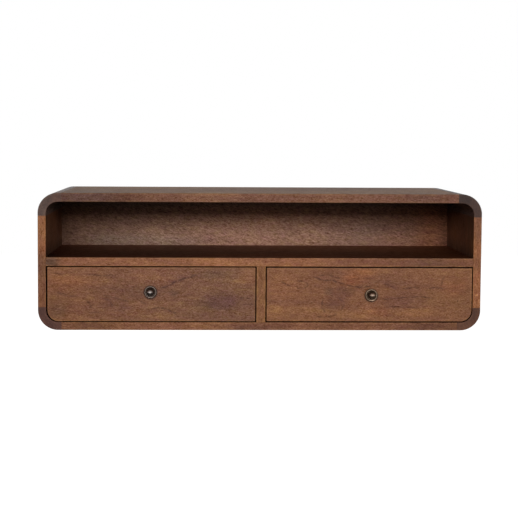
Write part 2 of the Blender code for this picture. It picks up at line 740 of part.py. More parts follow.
def make_drawer(side_name, side, boards, case, materials):
    # side: -1 for the left drawer, 1 for the right one
    outer_wall = side * INSIDE_X
    inner_wall = DIVIDER_LEFT_X if side < 0 else DIVIDER_RIGHT_X
    outer_gap = LEFT_DRAWER_OUTER_GAP if side < 0 else DRAWER_GAP
    outer_x = outer_wall - side * outer_gap
    inner_x = inner_wall + side * DRAWER_GAP
    middle_x = (outer_x + inner_x) / 2
    rise = LEFT_KNOB_RISE if side < 0 else RIGHT_KNOB_RISE
    shift = LEFT_KNOB_SHIFT if side < 0 else RIGHT_KNOB_SHIFT
    knob_x = middle_x + shift
    knob_z = (FLOOR_Z + SHELF_LOW_Z) / 2 + rise
    slide = add_empty(f"{side_name}_drawer_slide", (middle_x, FRONT_Y, RUNNER_TOP_Z))

    shape = drawer_front_shape(outer_x, inner_x, side)
    front = add_piece(f"{side_name}_drawer_front", shape, materials["front"], slide)
    inner = materials["inner"]
    outer_side, outer_face = add_box_side(
        f"{side_name}_drawer_outer_side", outer_wall, -side, front, inner, slide
    )
    inner_side, inner_face = add_box_side(
        f"{side_name}_drawer_inner_side", inner_wall, side, front, inner, slide
    )
    left_x, right_x = sorted((outer_face, inner_face))
    sides = (outer_side, inner_side)
    back, back_y = add_box_back(f"{side_name}_drawer_back", left_x, right_x, sides, inner, slide)
    add_box_bottom(
        f"{side_name}_drawer_bottom", left_x, right_x, back_y,
        (front, back, *sides), materials["panel"], slide,
    )
    add_knob(side_name, knob_x, knob_z, front, materials, slide)
    add_runner(f"{side_name}_outer_runner", outer_wall, -side, boards[0], case, materials)
    add_runner(f"{side_name}_inner_runner", inner_wall, side, boards[1], case, materials)


def main():
    clear_scene()
    materials = {
        "board": make_material("stained_wood", (0.200, 0.086, 0.047), 0.45),
        "front": make_material("drawer_front_wood", (0.185, 0.083, 0.049), 0.45),
        "end grain": make_material("end_grain_wood", (0.090, 0.050, 0.036), 0.50),
        "inner": make_material("inner_wood", (0.420, 0.270, 0.150), 0.60),
        "panel": make_material("panel_wood", (0.230, 0.110, 0.065), 0.55),
        "brass": make_material("antique_brass", (0.360, 0.240, 0.110), 0.35, metallic=1.0),
        "steel": make_material("zinc_plated_steel", (0.550, 0.550, 0.560), 0.35, metallic=1.0),
    }
    case = add_empty("case", (0.0, 0.0, 0.0))
    ring = make_ring(case, materials)
    shelf = make_shelf(ring, case, materials["board"])
    divider = make_divider(ring, shelf, case, materials["board"])
    make_back_panel(ring, case, materials["panel"])
    rail = make_rails(case, materials["inner"])
    for side_name, side in (("left", -1), ("right", 1)):
        make_keyhole_plate(side_name, side, rail, case, materials["steel"])
        make_drawer(side_name, side, (ring[side_name], divider), case, materials)


main()
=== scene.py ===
# Wall-mounted console: a stained hardwood case with round corners, an open compartment and two drawers
# Metres throughout. The front faces -Y, the wall is at y = 0, +X is to the right and +Z is up

import math
import random

import bmesh
import bpy
from mathutils import Matrix, Vector


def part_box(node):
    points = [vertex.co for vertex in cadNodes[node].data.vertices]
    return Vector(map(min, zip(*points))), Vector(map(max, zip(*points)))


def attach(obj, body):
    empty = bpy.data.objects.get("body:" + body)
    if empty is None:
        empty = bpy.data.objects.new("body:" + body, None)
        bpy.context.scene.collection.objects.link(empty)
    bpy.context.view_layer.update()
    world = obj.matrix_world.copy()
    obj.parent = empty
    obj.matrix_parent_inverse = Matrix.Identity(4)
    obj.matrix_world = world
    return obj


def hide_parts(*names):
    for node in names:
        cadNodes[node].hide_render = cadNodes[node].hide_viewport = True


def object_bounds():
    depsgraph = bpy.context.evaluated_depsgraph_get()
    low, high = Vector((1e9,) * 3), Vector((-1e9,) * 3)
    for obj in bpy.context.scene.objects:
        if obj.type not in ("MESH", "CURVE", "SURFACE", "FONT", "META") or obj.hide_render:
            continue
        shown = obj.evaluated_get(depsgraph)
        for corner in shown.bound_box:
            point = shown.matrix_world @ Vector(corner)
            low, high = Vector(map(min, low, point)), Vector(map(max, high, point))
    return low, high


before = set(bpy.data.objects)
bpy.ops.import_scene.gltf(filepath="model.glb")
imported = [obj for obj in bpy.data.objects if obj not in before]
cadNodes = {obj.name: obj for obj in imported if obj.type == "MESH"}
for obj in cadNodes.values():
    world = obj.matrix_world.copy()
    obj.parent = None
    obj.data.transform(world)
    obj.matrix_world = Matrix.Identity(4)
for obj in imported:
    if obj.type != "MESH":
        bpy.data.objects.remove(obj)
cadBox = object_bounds()
print("frame loaded,", len(cadNodes), "nodes")


# Helpers for node trees: each adds to the tree that was begun last

currentTree = None


def begin(tree):
    global currentTree
    currentTree = tree
    tree.nodes.clear()


def add(kind, values=None, **settings):
    made = currentTree.nodes.new(kind)
    for key, value in settings.items():
        setattr(made, key, value)
    for key, value in (values or {}).items():
        socket = made.inputs[key]
        if isinstance(value, bpy.types.NodeSocket):
            currentTree.links.new(value, socket)
        else:
            socket.default_value = (*value, 1.0) if socket.type == "RGBA" else value
    return made


def tap(kind, values=None, output=0, **settings):
    # Adds a node too, and gives one of its outputs
    return add(kind, values, **settings).outputs[output]


def calc(operation, *terms):
    return tap("ShaderNodeMath", dict(enumerate(terms)), operation=operation)


def vectorCalc(operation, *terms):
    output = "Value" if operation in ("LENGTH", "DOT_PRODUCT") else "Vector"
    return tap("ShaderNodeVectorMath", dict(enumerate(terms)), output, operation=operation)


def split(vector):
    return add("ShaderNodeSeparateXYZ", {0: vector}).outputs


def join(*parts):
    return tap("ShaderNodeCombineXYZ", dict(enumerate(parts)))


def coordinate(kind):
    return tap("ShaderNodeTexCoord", output=kind)


def spread(value, low, high, toLow=0.0, toHigh=1.0, smooth=True):
    kind = "SMOOTHSTEP" if smooth else "LINEAR"
    values = {"Value": value, "From Min": low, "From Max": high, "To Min": toLow, "To Max": toHigh}
    return tap("ShaderNodeMapRange", values, "Result", interpolation_type=kind)


def noise(vector, stretch, detail=2.0, roughness=0.5, colored=False):
    # stretch: how many features there are in a metre, along each axis
    place = vectorCalc("MULTIPLY", vector, stretch)
    values = {"Vector": place, "Scale": 1.0, "Detail": detail, "Roughness": roughness}
    return tap("ShaderNodeTexNoise", values, "Color" if colored else "Fac")


def weighted(value, *layers, middle=0.5):
    # Adds each layer's swing about its middle, times its share
    for layer, share in layers:
        value = calc("MULTIPLY_ADD", calc("SUBTRACT", layer, middle), share, value)
    return value


def blend(color, other, mask, mode="MULTIPLY"):
    return tap("ShaderNodeMix", {0: mask, 6: color, 7: other}, 2, data_type="RGBA", blend_type=mode)


def colorRamp(value, positions, colors):
    made = add("ShaderNodeValToRGB", {"Fac": value})
    made.color_ramp.elements.new(0.5)    # a third one: two are there from the start
    for element, position, color in zip(made.color_ramp.elements, positions, colors):
        element.position = position
        element.color = (*color, 1.0)
    return made.outputs["Color"]


def newMaterial(name):
    material = bpy.data.materials.new(name)
    material.use_nodes = True
    begin(material.node_tree)
    return material


def finishMaterial(color, roughness, constant, height, bump):
    # bump: strength, and the height in metres that 1 stands for
    lumps = tap("ShaderNodeBump", {"Height": height, "Strength": bump[0], "Distance": bump[1]})
    shader = {"Base Color": color, "Roughness": roughness, "Normal": lumps, **constant}
    add("ShaderNodeOutputMaterial", {"Surface": tap("ShaderNodeBsdfPrincipled", shader)})


def linkObject(name, data):
    made = bpy.data.objects.new(name, data)
    bpy.context.scene.collection.objects.link(made)
    return made


# Camera, at the photograph's viewing angle

cameraPlan = {
    "place": (-0.1171, -2.7317, 0.1731),
    "yaw": 0.0266,             # radians, to the right
    "pitch": 0.0579,           # radians, downwards
    "roll": 0.0058,
    "focalPixels": 1119.5,
    "axisPixel": (237.0, 199.0),   # where the lens axis meets the picture
    "pictureSize": 518,
    "sensor": 36.0,
}


def makeCamera():
    plan = cameraPlan
    yaw, pitch, roll, size = plan["yaw"], plan["pitch"], plan["roll"], plan["pictureSize"]
    forward = Vector((math.sin(yaw) * math.cos(pitch), math.cos(yaw) * math.cos(pitch), -math.sin(pitch)))
    level = Vector((math.cos(yaw), -math.sin(yaw), 0.0))
    upright = level.cross(forward)
    turnedLevel = math.cos(roll) * level + math.sin(roll) * upright
    turnedUpright = math.cos(roll) * upright - math.sin(roll) * level
    data = bpy.data.cameras.new("camera")
    data.sensor_width = plan["sensor"]
    data.lens = plan["focalPixels"] * plan["sensor"] / size
    data.shift_x = (size / 2 - plan["axisPixel"][0]) / size
    data.shift_y = (plan["axisPixel"][1] - size / 2) / size
    camera = linkObject("camera", data)
    axes = Matrix((turnedLevel, turnedUpright, -forward)).transposed()
    camera.matrix_world = Matrix.Translation(plan["place"]) @ axes.to_4x4()
    bpy.context.scene.camera = camera


makeCamera()
print("camera placed")


# Studio: one long strip light behind the camera, a soft even surround, and a pale floor

studio = {
    "stripPlace": (0.0, -3.50, 0.84),
    "stripSize": (6.0, 0.62),
    "stripPower": 118.0,
    "aim": (0.0, -0.15, -0.10),
    "rearPlace": (0.0, 3.20, -0.25),
    "rearSize": (5.0, 1.20),
    "rearPower": 75.0,
    "surround": 0.18,          # brightness that falls on the object from all round
    "floorBelow": 0.85,
    "floorHalfSize": 9.0,
    "floorColor": (0.80, 0.80, 0.79),
    "floorGlow": 0.95,         # only what the camera and reflections see is lifted to white
}


def whiteToViewers():
    # 1 for rays from the camera and for reflected or refracted ones, 0 for light that falls on things
    path = add("ShaderNodeLightPath").outputs
    seen = calc("MAXIMUM", path["Is Camera Ray"], path["Is Glossy Ray"])
    return calc("MAXIMUM", seen, path["Is Transmission Ray"])


def makeWorld():
    world = bpy.data.worlds.new("surround")
    world.use_nodes = True
    begin(world.node_tree)
    strength = spread(whiteToViewers(), 0.0, 1.0, studio["surround"], 1.0, smooth=False)
    sky = tap("ShaderNodeBackground", {"Color": (1.0, 1.0, 1.0), "Strength": strength})
    add("ShaderNodeOutputWorld", {"Surface": sky})
    bpy.context.scene.world = world


def makeSoftbox(name, kind):
    data = bpy.data.lights.new(name, "AREA")
    data.shape = "RECTANGLE"
    data.size, data.size_y = studio[kind + "Size"]
    data.energy = studio[kind + "Power"]
    softbox = linkObject(name, data)
    softbox.location = studio[kind + "Place"]
    aim = Vector(studio["aim"]) - softbox.location
    softbox.rotation_mode = "QUATERNION"
    softbox.rotation_quaternion = aim.to_track_quat("-Z", "Y")
    return softbox


def makeFloor():
    # It keeps shadows, glows white to the camera, and is clear from below
    material = newMaterial("pale_floor")
    paint = tap("ShaderNodeBsdfDiffuse", {"Color": studio["floorColor"]})
    glow = calc("MULTIPLY", whiteToViewers(), studio["floorGlow"])
    lit = tap("ShaderNodeAddShader", {0: paint, 1: tap("ShaderNodeEmission", {"Strength": glow})})
    below = tap("ShaderNodeNewGeometry", output="Backfacing")
    mixed = tap("ShaderNodeMixShader", {0: below, 1: lit, 2: tap("ShaderNodeBsdfTransparent")})
    add("ShaderNodeOutputMaterial", {"Surface": mixed})
    half = studio["floorHalfSize"]
    level = cadBox[0].z - studio["floorBelow"]
    mesh = bpy.data.meshes.new("floor")
    corners = [(-half, -half, level), (half, -half, level), (half, half, level), (-half, half, level)]
    mesh.from_pydata(corners, [], [(0, 1, 2, 3)])
    mesh.materials.append(material)
    linkObject("floor", mesh)


makeWorld()
makeSoftbox("front_strip", "strip")
rear = makeSoftbox("rear_softbox", "rear")
rear.visible_glossy = False    # it fills the back and puts no sheen on the top
makeFloor()
bpy.context.scene.view_settings.view_transform = "Standard"
print("studio lit")


# Wood: grain in the solid, so it runs on round every edge

woodBasics = {
    "along": "X",              # axis of the grain
    "deep": (0.084, 0.038, 0.030),
    "body": (0.158, 0.066, 0.036),
    "warm": (0.262, 0.128, 0.052),
    "tint": (1.0, 1.0, 1.0),
    "waviness": 0.030,         # how far the grain strays from its line
    "pith": (0.30, -0.10),     # the heart of the log, across the grain
    "ringSpacing": 0.012,
    "ringSlope": 0.06,         # rise of the rings along the board
    # Length and width of one feature, then detail and roughness of the noise
    "strayNoise": (1 / 2.4, 1 / 5.5, 2.0, 0.5),
    "patchNoise": (1 / 3.4, 0.1, 2.0, 0.5),
    "streakNoise": (0.016, 0.0040, 3.0, 0.62),
    "fineNoise": (0.0038, 0.0012, 2.0, 0.6),
    "poreNoise": (0.0050, 0.0008, 1.0, 0.5),
    "hairNoise": (0.0080, 0.00034, 1.0, 0.5),    # fine lines that show only from close by
    "longNoise": (0.120, 0.0032, 3.0, 0.6),    # long streaks, on the faces that run along the grain
    "fleckNoise": (0.0100, 0.0024, 2.0, 0.6),
    "toneNoise": (0.020, 0.009, 3.0, 0.62),
    "frayNoise": (1 / 45, 1 / 160, 2.0, 0.6),
    "rubNoise": (1 / 55, 1 / 120, 3.0, 0.6),
    # Shares in the color
    "rings": 0.30,
    "streaks": 0.22,
    "patches": 0.34,
    "hair": 0.34,
    "flecks": 0.0,
    "fleckTilt": -24.0,        # degrees from the grain
    "relief": (0.36, 1.10),    # share of the streaks and of the fine grain in light and dark
    "broadside": (1.30, 0.42, 0.45),   # where the long streaks show: more rings, their share, less fine grain
    "contrast": (1.5, 0.10),   # of light and dark: as a share of the color, and as plain grey
    "tone": 0.85,              # from golden to violet, in spots
    "toneFrom": (0.28, 0.50, 0.72),    # noise that gives violet, neither and golden
    "poreDepth": 0.60,
    "poreFrom": (0.60, 0.70),  # noise where a pore starts and where it is full
    "heights": (0.6, 0.5, -1.2),    # of fine grain, fine lines and pores, next to the streaks
    "rubFrom": (0.38, 0.66),
    "wear": (0.10, 0.55, 1.25),    # least and most of it on an edge, and how much lighter the wood is there
    "roughness": (0.40, 0.56),
    "specular": 0.14,
    "bump": (0.35, 0.00022),
    "shaded": [],              # faces that look a given way, and the color they are multiplied by: mostly painted shade
    # Marks on the front, in millimetres and hundredths: spots and lines, as spotMask and strokeMask take them
    "marks": [],
    "strokes": [],
    "fray": ((0.020, 0.0, 0.010), (0.009, 0.0, 0.005)),    # how far their edges stray
    "markDepth": -0.29,        # y of their middle, in metres
    "rosetteShadow": None,             # a painted shadow round a knob's rosette: x, z, where it is full and where it ends
}
endGrainBasics = {
    "along": "Y",
    "patchNoise": (0.25, 1 / 22, 2.0, 0.5),
    "dotNoise": (1 / 60, 1 / 1300, 2.0, 0.6),
    "pointNoise": (1 / 60, 1 / 2900, 1.0, 0.5),
    "gritNoise": (0.04, 1 / 320, 3.0, 0.6),
    "rubNoise": (0.02, 1 / 110, 3.0, 0.6),
    "wear": (0.05, 0.45, 1.50),
    "poreFrom": (0.62, 0.70),
    "shares": (0.9, 0.45, 0.60, 0.6),    # of patches, dots, points and grit in the color
}

rampPlaces = (0.22, 0.50, 0.80)    # where the deep, body and warm colors lie between dark and light
facingFrom = (0.72, 0.96)    # cosines where a face starts to look a given way, and where it fully does

# Golden and violet, which the wood drifts between
toneTints = ((1.06, 1.13, 0.94), (0.97, 0.89, 1.04))

# Colors that a mark multiplies the wood by; on the back panel some of them stand for painted light and shade
markTints = {
    "dark": (0.42, 0.38, 0.38),
    "grey": (0.68, 0.74, 0.80),
    "gold": (1.28, 1.34, 1.16),
    "red": (1.16, 0.96, 0.88),
    "pale": (2.40, 3.20, 3.60),
    "violet": (0.72, 0.68, 0.86),
    "ember": (1.03, 0.84, 0.68),
    "russet": (1.14, 0.94, 0.86),
    "light": (1.45, 1.40, 1.34),
    "warm": (1.30, 1.16, 1.00),
    "haze": (1.04, 1.20, 1.26),
    "ash": (0.88, 1.04, 1.36),
    "dim": (0.78, 0.78, 0.78),
    "deep": (0.60, 0.56, 0.54),
}


def grainNoise(vector, plan, kind, colored=False):
    length, width, detail, roughness = plan[kind + "Noise"]
    return noise(vector, (1 / length, 1 / width, 1 / width), detail, roughness, colored)


def swing(vector, plan, kind):
    # A random way to go, which on average leads nowhere
    return vectorCalc("SUBTRACT", grainNoise(vector, plan, kind, colored=True), (0.5, 0.5, 0.5))


def spotMask(place, depth, strength, x, z, halfLength, halfWidth, tilt=0.0, reach=80.0):
    # A soft spot: tilt in degrees, reach to the front and back
    spot = tap("ShaderNodeMapping", {
        "Vector": place,
        "Location": (x / 1000, depth, z / 1000),
        "Rotation": (0.0, -math.radians(tilt), 0.0),
        "Scale": (halfLength / 1000, reach / 1000, halfWidth / 1000),
    }, vector_type="TEXTURE")
    ball = tap("ShaderNodeTexGradient", {"Vector": spot}, "Fac", gradient_type="SPHERICAL")
    return spread(ball, 0.0, 0.75, 0.0, strength / 100)


def strokeMask(place, depth, strength, halfWidth, *points):
    # A thin line of the figure, run through its points
    best = 0.0
    for (startX, startZ), (endX, endZ) in zip(points, points[1:]):
        halfLength = math.hypot(endX - startX, endZ - startZ) * 0.75
        tilt = math.degrees(math.atan2(endZ - startZ, endX - startX))
        middle = (startX + endX) / 2, (startZ + endZ) / 2
        best = calc("MAXIMUM", best, spotMask(place, depth, strength, *middle, halfLength, halfWidth, tilt))
    return best


def shadeFaces(color, shaded):
    # Multiplies faces that look a given way by a tint, which may deepen along an axis: mostly painted shade on
    # faces inside the compartment and in the gaps, here and there a change of tone
    normal, place = coordinate("Normal"), split(coordinate("Object"))
    for facing, tint, *course in shaded:
        mask = spread(vectorCalc("DOT_PRODUCT", normal, facing), *facingFrom)
        if course:
            axis, start, end = course
            mask = calc("MULTIPLY", mask, spread(place[axis], start, end, smooth=False))
        color = blend(color, tint, mask)
    return color


def pithDistance(place, plan):
    y, z = plan["pith"]
    return vectorCalc("LENGTH", vectorCalc("MULTIPLY_ADD", place, (0.0, 1.0, 1.0), (0.0, -y, -z)))


def beginWood(name, look):
    # board: the place with the grain turned along X. moved: the same, shifted at random
    plan = {**woodBasics, **look}
    material = newMaterial(name)
    dice = random.Random(plan["seed"])
    shift = [dice.uniform(-40.0, 40.0) for _ in range(3)]
    place = coordinate("Object")
    parts = split(place)
    order = {"X": (0, 1, 2), "Y": (1, 0, 2), "Z": (2, 1, 0)}[plan["along"]]
    board = join(*[parts[index] for index in order])
    kinds = ("deep", "body", "warm")
    colors = [[part * share for part, share in zip(plan[kind], plan["tint"])] for kind in kinds]
    return plan, material, colors, shift, place, board, vectorCalc("ADD", board, shift)


def finishWood(plan, color, warm, moved, polish, height):
    # The stain is thinner on rubbed edges
    least, most, gain = plan["wear"]
    rub = spread(grainNoise(moved, plan, "rub"), *plan["rubFrom"], least, most)
    worn = calc("MULTIPLY", tap("ShaderNodeAttribute", output="Fac", attribute_name="wear"), rub)
    color = blend(color, [gain * part for part in warm], worn, "MIX")
    color = shadeFaces(color, plan["shaded"])
    finishMaterial(color, polish, {"Specular IOR Level": plan["specular"]}, height, plan["bump"])


def woodMaterial(name, **look):
    plan, material, colors, shift, place, board, moved = beginWood(name, look)
    wave = vectorCalc("MULTIPLY", swing(moved, plan, "stray"), [plan["waviness"]] * 3)
    bent = vectorCalc("ADD", board, wave)
    fibre = vectorCalc("ADD", bent, shift)

    # Growth rings round the heart of the log
    lengthwise = split(bent)["X"]
    radius = calc("ADD", pithDistance(bent, plan), calc("MULTIPLY", lengthwise, plan["ringSlope"]))
    rings = noise(join(lengthwise, radius, shift[0]), (1.6, 1.0 / plan["ringSpacing"], 1.0), 3.0, 0.6)

    kinds = ("patch", "streak", "fine", "pore", "hair", "long")
    patches, streaks, fine, pores, hair, long = [grainNoise(fibre, plan, kind) for kind in kinds]
    pores = spread(pores, *plan["poreFrom"])

    # The broad faces of the case, and all that looks to the back, show the figure more than its front does
    facingY = split(coordinate("Normal"))["Y"]
    broad = spread(facingY, -0.9, -0.2, smooth=False)
    moreRings, longShare, lessFine = plan["broadside"]
    ringShare = calc("MULTIPLY", calc("MULTIPLY_ADD", broad, moreRings, 1.0), plan["rings"])
    fineShare = calc("MULTIPLY", calc("MULTIPLY_ADD", broad, -lessFine, 1.0), plan["relief"][1])
    value = weighted(0.5, (rings, ringShare), (streaks, plan["streaks"]), (patches, plan["patches"]))
    value = weighted(value, (long, calc("MULTIPLY", broad, longShare)))
    light = weighted(0.0, (streaks, plan["relief"][0]), (fine, fineShare), (hair, plan["hair"]))
    if plan["flecks"]:
        slanted = {"Vector": fibre, "Rotation": (0.0, math.radians(plan["fleckTilt"]), 0.0)}
        toFront = spread(facingY, 0.3, -0.3, 0.25 * plan["flecks"], plan["flecks"])
        light = weighted(light, (grainNoise(tap("ShaderNodeMapping", slanted), plan, "fleck"), toFront))

    color = colorRamp(value, rampPlaces, colors)
    tones = grainNoise(moved, plan, "tone")
    violet, neither, golden = plan["toneFrom"]
    color = blend(color, toneTints[0], spread(tones, neither, golden, 0.0, plan["tone"]))
    color = blend(color, toneTints[1], spread(tones, violet, neither, plan["tone"], 0.0))
    share, grey = plan["contrast"]
    gain, lift = calc("MULTIPLY_ADD", light, share, 1.0), calc("MULTIPLY", light, grey)
    color = vectorCalc("MULTIPLY_ADD", color, gain, lift)
    color = blend(color, markTints["dark"], calc("MULTIPLY", pores, plan["poreDepth"]))

    if plan["marks"] or plan["strokes"]:
        fray, depth = swing(fibre, plan, "fray"), plan["markDepth"]
        spotPlace, strokePlace = [vectorCalc("MULTIPLY_ADD", fray, reach, place) for reach in plan["fray"]]
        for tint, *spot in plan["marks"]:
            color = blend(color, markTints[tint], spotMask(spotPlace, depth, *spot))
        for stroke in plan["strokes"]:
            color = blend(color, markTints["dark"], strokeMask(strokePlace, depth, *stroke))
    # A painted shadow ring round the knob's rosette
    if plan["rosetteShadow"]:
        x, z, thick, end = plan["rosetteShadow"]
        away = vectorCalc("MULTIPLY", vectorCalc("SUBTRACT", place, (x, 0.0, z)), (1.0, 0.0, 1.0))
        mask = spread(vectorCalc("LENGTH", away), thick, end, 0.9, 0.0, smooth=False)
        color = blend(color, markTints["dark"], mask)

    polish = spread(streaks, 0.25, 0.75, *reversed(plan["roughness"]))
    polish = calc("MULTIPLY_ADD", pores, 0.10, polish)
    height = weighted(streaks, *zip((fine, hair, pores), plan["heights"]), middle=0.0)
    finishWood(plan, color, colors[2], moved, polish, height)
    return material


def endGrainMaterial(name, **look):
    # The ends of the fibres face the front: dots of pores between faint curved rings
    plan, material, colors, shift, place, board, moved = beginWood(name, {**endGrainBasics, **look})
    kinds = ("patch", "dot", "point", "grit")
    patches, dots, points, grit = [grainNoise(moved, plan, kind) for kind in kinds]
    ringPlace = join(pithDistance(board, plan), shift[1], split(board)["X"])
    rings = noise(ringPlace, (1.0 / plan["ringSpacing"], 1.0, 2.0))
    value = weighted(0.5, *zip((patches, dots, points, grit), plan["shares"]), (rings, plan["rings"]))
    color = colorRamp(value, rampPlaces, colors)
    pores = spread(dots, *plan["poreFrom"])
    color = blend(color, markTints["dark"], calc("MULTIPLY", pores, plan["poreDepth"]))
    for tint, *spot in plan["marks"]:
        color = blend(color, markTints[tint], spotMask(place, plan["markDepth"], *spot))
    polish = spread(grit, 0.25, 0.75, *reversed(plan["roughness"]))
    finishWood(plan, color, colors[2], moved, polish, calc("MULTIPLY_ADD", pores, -1.0, grit))
    return material


# Metal finishes

brassBasics = {
    "clouds": 160.0,           # in a metre
    "scratches": 900.0,
    "uneven": (0.30, 0.20),    # what clouds and scratches add to the shine
    "paintedTopLight": (0.05, 0.44),   # upward tilt below which the metal keeps its dark color as painted shade, and above which its rubbed places are bright in full as painted light
    "roughness": (0.30, 0.52),
    "bump": (0.25, 0.00012),
}
zincLook = {
    "crystals": 900.0,         # in a metre
    "colors": ((0.50, 0.50, 0.51), (0.57, 0.57, 0.57), (0.63, 0.62, 0.60)),
    "brushing": (2600.0, 240.0, 40.0),
    "stains": 70.0,
    "dull": (0.36, 0.35, 0.34),
    "stained": (0.52, 0.74, 0.0, 0.7),    # noise where a stain starts and is full, and its strength there
    "roughness": (0.18, 0.34),
    "bump": (0.15, 0.00008),
}


def brassMaterial(name, **look):
    # Antique brass: dark in the hollows, rubbed bright on the high places, with painted light on faces that
    # tilt up and painted shade on faces that tilt down
    plan = {**brassBasics, **look}
    material = newMaterial(name)
    moved = vectorCalc("ADD", coordinate("Object"), (plan["seed"], 0.0, 0.0))
    clouds = noise(moved, [plan["clouds"]] * 3, 4.0, 0.6)
    scratches = noise(moved, [plan["scratches"]] * 3, 2.0, 0.6)
    # Painted light and shade: faces that tilt up take the bright color, faces that tilt down the dark one
    upper = spread(split(coordinate("Normal"))["Z"], *plan["paintedTopLight"])
    share = calc("MULTIPLY", tap("ShaderNodeAttribute", output="Fac", attribute_name="wear"), upper)
    share = spread(weighted(share, *zip((clouds, scratches), plan["uneven"])), 0.0, 1.0, smooth=False)
    color = blend(plan["patinaAndShade"], plan["bright"], share, "MIX")
    polish = spread(share, 0.0, 1.0, *reversed(plan["roughness"]))
    height = calc("MULTIPLY_ADD", scratches, 0.4, clouds)
    finishMaterial(color, polish, {"Metallic": 1.0}, height, plan["bump"])
    return material


def zincMaterial(name):
    # Plated steel: faint crystals, brushed up and down, with dull stains
    material = newMaterial(name)
    place = coordinate("Object")
    scaled = vectorCalc("MULTIPLY", place, [zincLook["crystals"]] * 3)
    crystals = tap("ShaderNodeTexVoronoi", {"Vector": scaled, "Scale": 1.0}, "Color")
    tone = tap("ShaderNodeSeparateColor", {"Color": crystals}, "Red")
    lines = noise(place, zincLook["brushing"])
    color = colorRamp(weighted(tone, (lines, 0.9)), (0.0, 0.5, 1.0), zincLook["colors"])
    stains = noise(place, [zincLook["stains"]] * 3, 4.0, 0.65)
    color = blend(color, zincLook["dull"], spread(stains, *zincLook["stained"]), "MIX")
    polish = calc("MULTIPLY_ADD", stains, 0.25, spread(lines, 0.3, 0.7, *zincLook["roughness"]))
    finishMaterial(color, polish, {"Metallic": 1.0}, lines, zincLook["bump"])
    return material


# Shapes

edgeWork = {
    "ease": 0.0012,            # radius sanded on the long edges
    "steps": 5,
    "wornBand": 0.0035,        # how far the rubbed look reaches over a face
    "wornEdge": (0.45, 0.55),  # wear where an edge starts to round, and how much more there is in its middle
    "tightJoint": 0.00012,     # hairline left between glued pieces
    "merge": 0.000002,         # points closer than this become one
    "sharpAngle": 34.0,        # degrees; a turned piece is smooth over more
    "turnedAngle": 50.0,
}


def smoothShading(mesh, sharpAngle):
    mesh.shade_smooth()
    mesh.set_sharp_from_angle(angle=math.radians(sharpAngle))


def finishMesh(name, shape, material, sharpAngle=edgeWork["sharpAngle"]):
    bmesh.ops.remove_doubles(shape, verts=shape.verts, dist=edgeWork["merge"])
    bmesh.ops.dissolve_degenerate(shape, dist=edgeWork["merge"], edges=shape.edges)
    bmesh.ops.recalc_face_normals(shape, faces=shape.faces)
    mesh = bpy.data.meshes.new(name)
    shape.to_mesh(mesh)
    shape.free()
    mesh.materials.append(material)
    smoothShading(mesh, sharpAngle)
    return linkObject(name, mesh)


def assign(piece, body, slotName, *replaced):
    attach(piece, body)
    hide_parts(*replaced)


def shapeOf(mesh):
    shape = bmesh.new()
    shape.from_mesh(mesh)
    return shape


def finishWoodPiece(name, shape, look, body, slotName):
    piece = finishMesh(name + "_wood", shape, woodMaterial(name + "_finish", **look))
    assign(piece, body, slotName, name)


def plainMesh(carrier):
    # What the carrier's modifier makes of it
    bpy.context.view_layer.update()
    evaluated = carrier.evaluated_get(bpy.context.evaluated_depsgraph_get())
    mesh = bpy.data.meshes.new_from_object(evaluated)
    bpy.data.objects.remove(carrier)
    return mesh


def arc(centerX, centerZ, radius, start, end, steps):
    angles = [start + (end - start) * step / steps for step in range(steps + 1)]
    return [(centerX + radius * math.cos(a), centerZ + radius * math.sin(a)) for a in angles]


def quarter(centerX, centerZ, radius, start, steps):
    return arc(centerX, centerZ, radius, start, start + math.pi / 2, steps)


def rectangleCorners(lowX, highX, lowY, highY):
    # Each corner, the ways that lead inwards from it, and the angle where its arc starts
    return [
        (lowX, lowY, 1, 1, math.pi), (highX, lowY, -1, 1, 1.5 * math.pi),
        (highX, highY, -1, -1, 0.0), (lowX, highY, 1, -1, 0.5 * math.pi),
    ]


def edgeWear(share):
    least, more = edgeWork["wornEdge"]
    return least + more * math.sin(math.pi * share)


def loft(rings):
    # A closed skin over rings of points, each with its wear; a ring of one point closes an end
    shape = bmesh.new()
    wearLayer = shape.verts.layers.float.new("wear")
    loops = []
    for points, wear in rings:
        loops.append([shape.verts.new(point) for point in points])
        for vertex in loops[-1]:
            vertex[wearLayer] = wear
    for cap in (loops[0], loops[-1][::-1]):
        if len(cap) > 1:
            shape.faces.new(cap)
    for near, far in zip(loops, loops[1:]):
        count = max(len(near), len(far))
        for i in range(count):
            j = (i + 1) % count
            corners = [near[i % len(near)], near[j % len(near)], far[j % len(far)], far[i % len(far)]]
            shape.faces.new(list(dict.fromkeys(corners)))
    return shape


def easedSlab(planAt, low, high, axis):
    # planAt(inset) is the outline across the axis, drawn in by the inset where an edge is eased
    ease, steps = edgeWork["ease"], edgeWork["steps"]
    band = min(edgeWork["wornBand"], (high - low) / 4)
    rounding = []
    for step in range(steps + 1):
        angle = math.pi / 2 * step / steps
        rounding.append((ease * (1 - math.cos(angle)), ease * (1 - math.sin(angle)), edgeWear(step / steps)))
    rings = [(low, ease + band, 0.0)]
    rings += [(low + depth, inset, wear) for depth, inset, wear in rounding]
    rings += [(low + ease + band, 0.0, 0.0), (high - ease - band, 0.0, 0.0)]
    rings += [(high - depth, inset, wear) for depth, inset, wear in reversed(rounding)]
    rings += [(high, ease + band, 0.0)]
    return loft([
        ([(*point[:axis], station, *point[axis:]) for point in planAt(inset)], wear)
        for station, inset, wear in rings
    ])


# Boards of the case with eased long edges, butted to the corner blocks, its shelf and its divider

gapShadeTint = (0.12, 0.07, 0.035)  # painted shade on the narrow faces in the gaps round the drawers
# Painted shade low on the compartment's side walls, near the shelf
lowWallShadeTint = (0.55, 0.66, 0.85)
left, right, up, down, front = (-1, 0, 0), (1, 0, 0), (0, 0, 1), (0, 0, -1), (0, -1, 0)
leftArris, rightArris = (-0.7071, -0.7071, 0.0), (0.7071, -0.7071, 0.0)
topArris, lowArris = (0.0, -0.7071, 0.7071), (0.0, -0.7071, -0.7071)

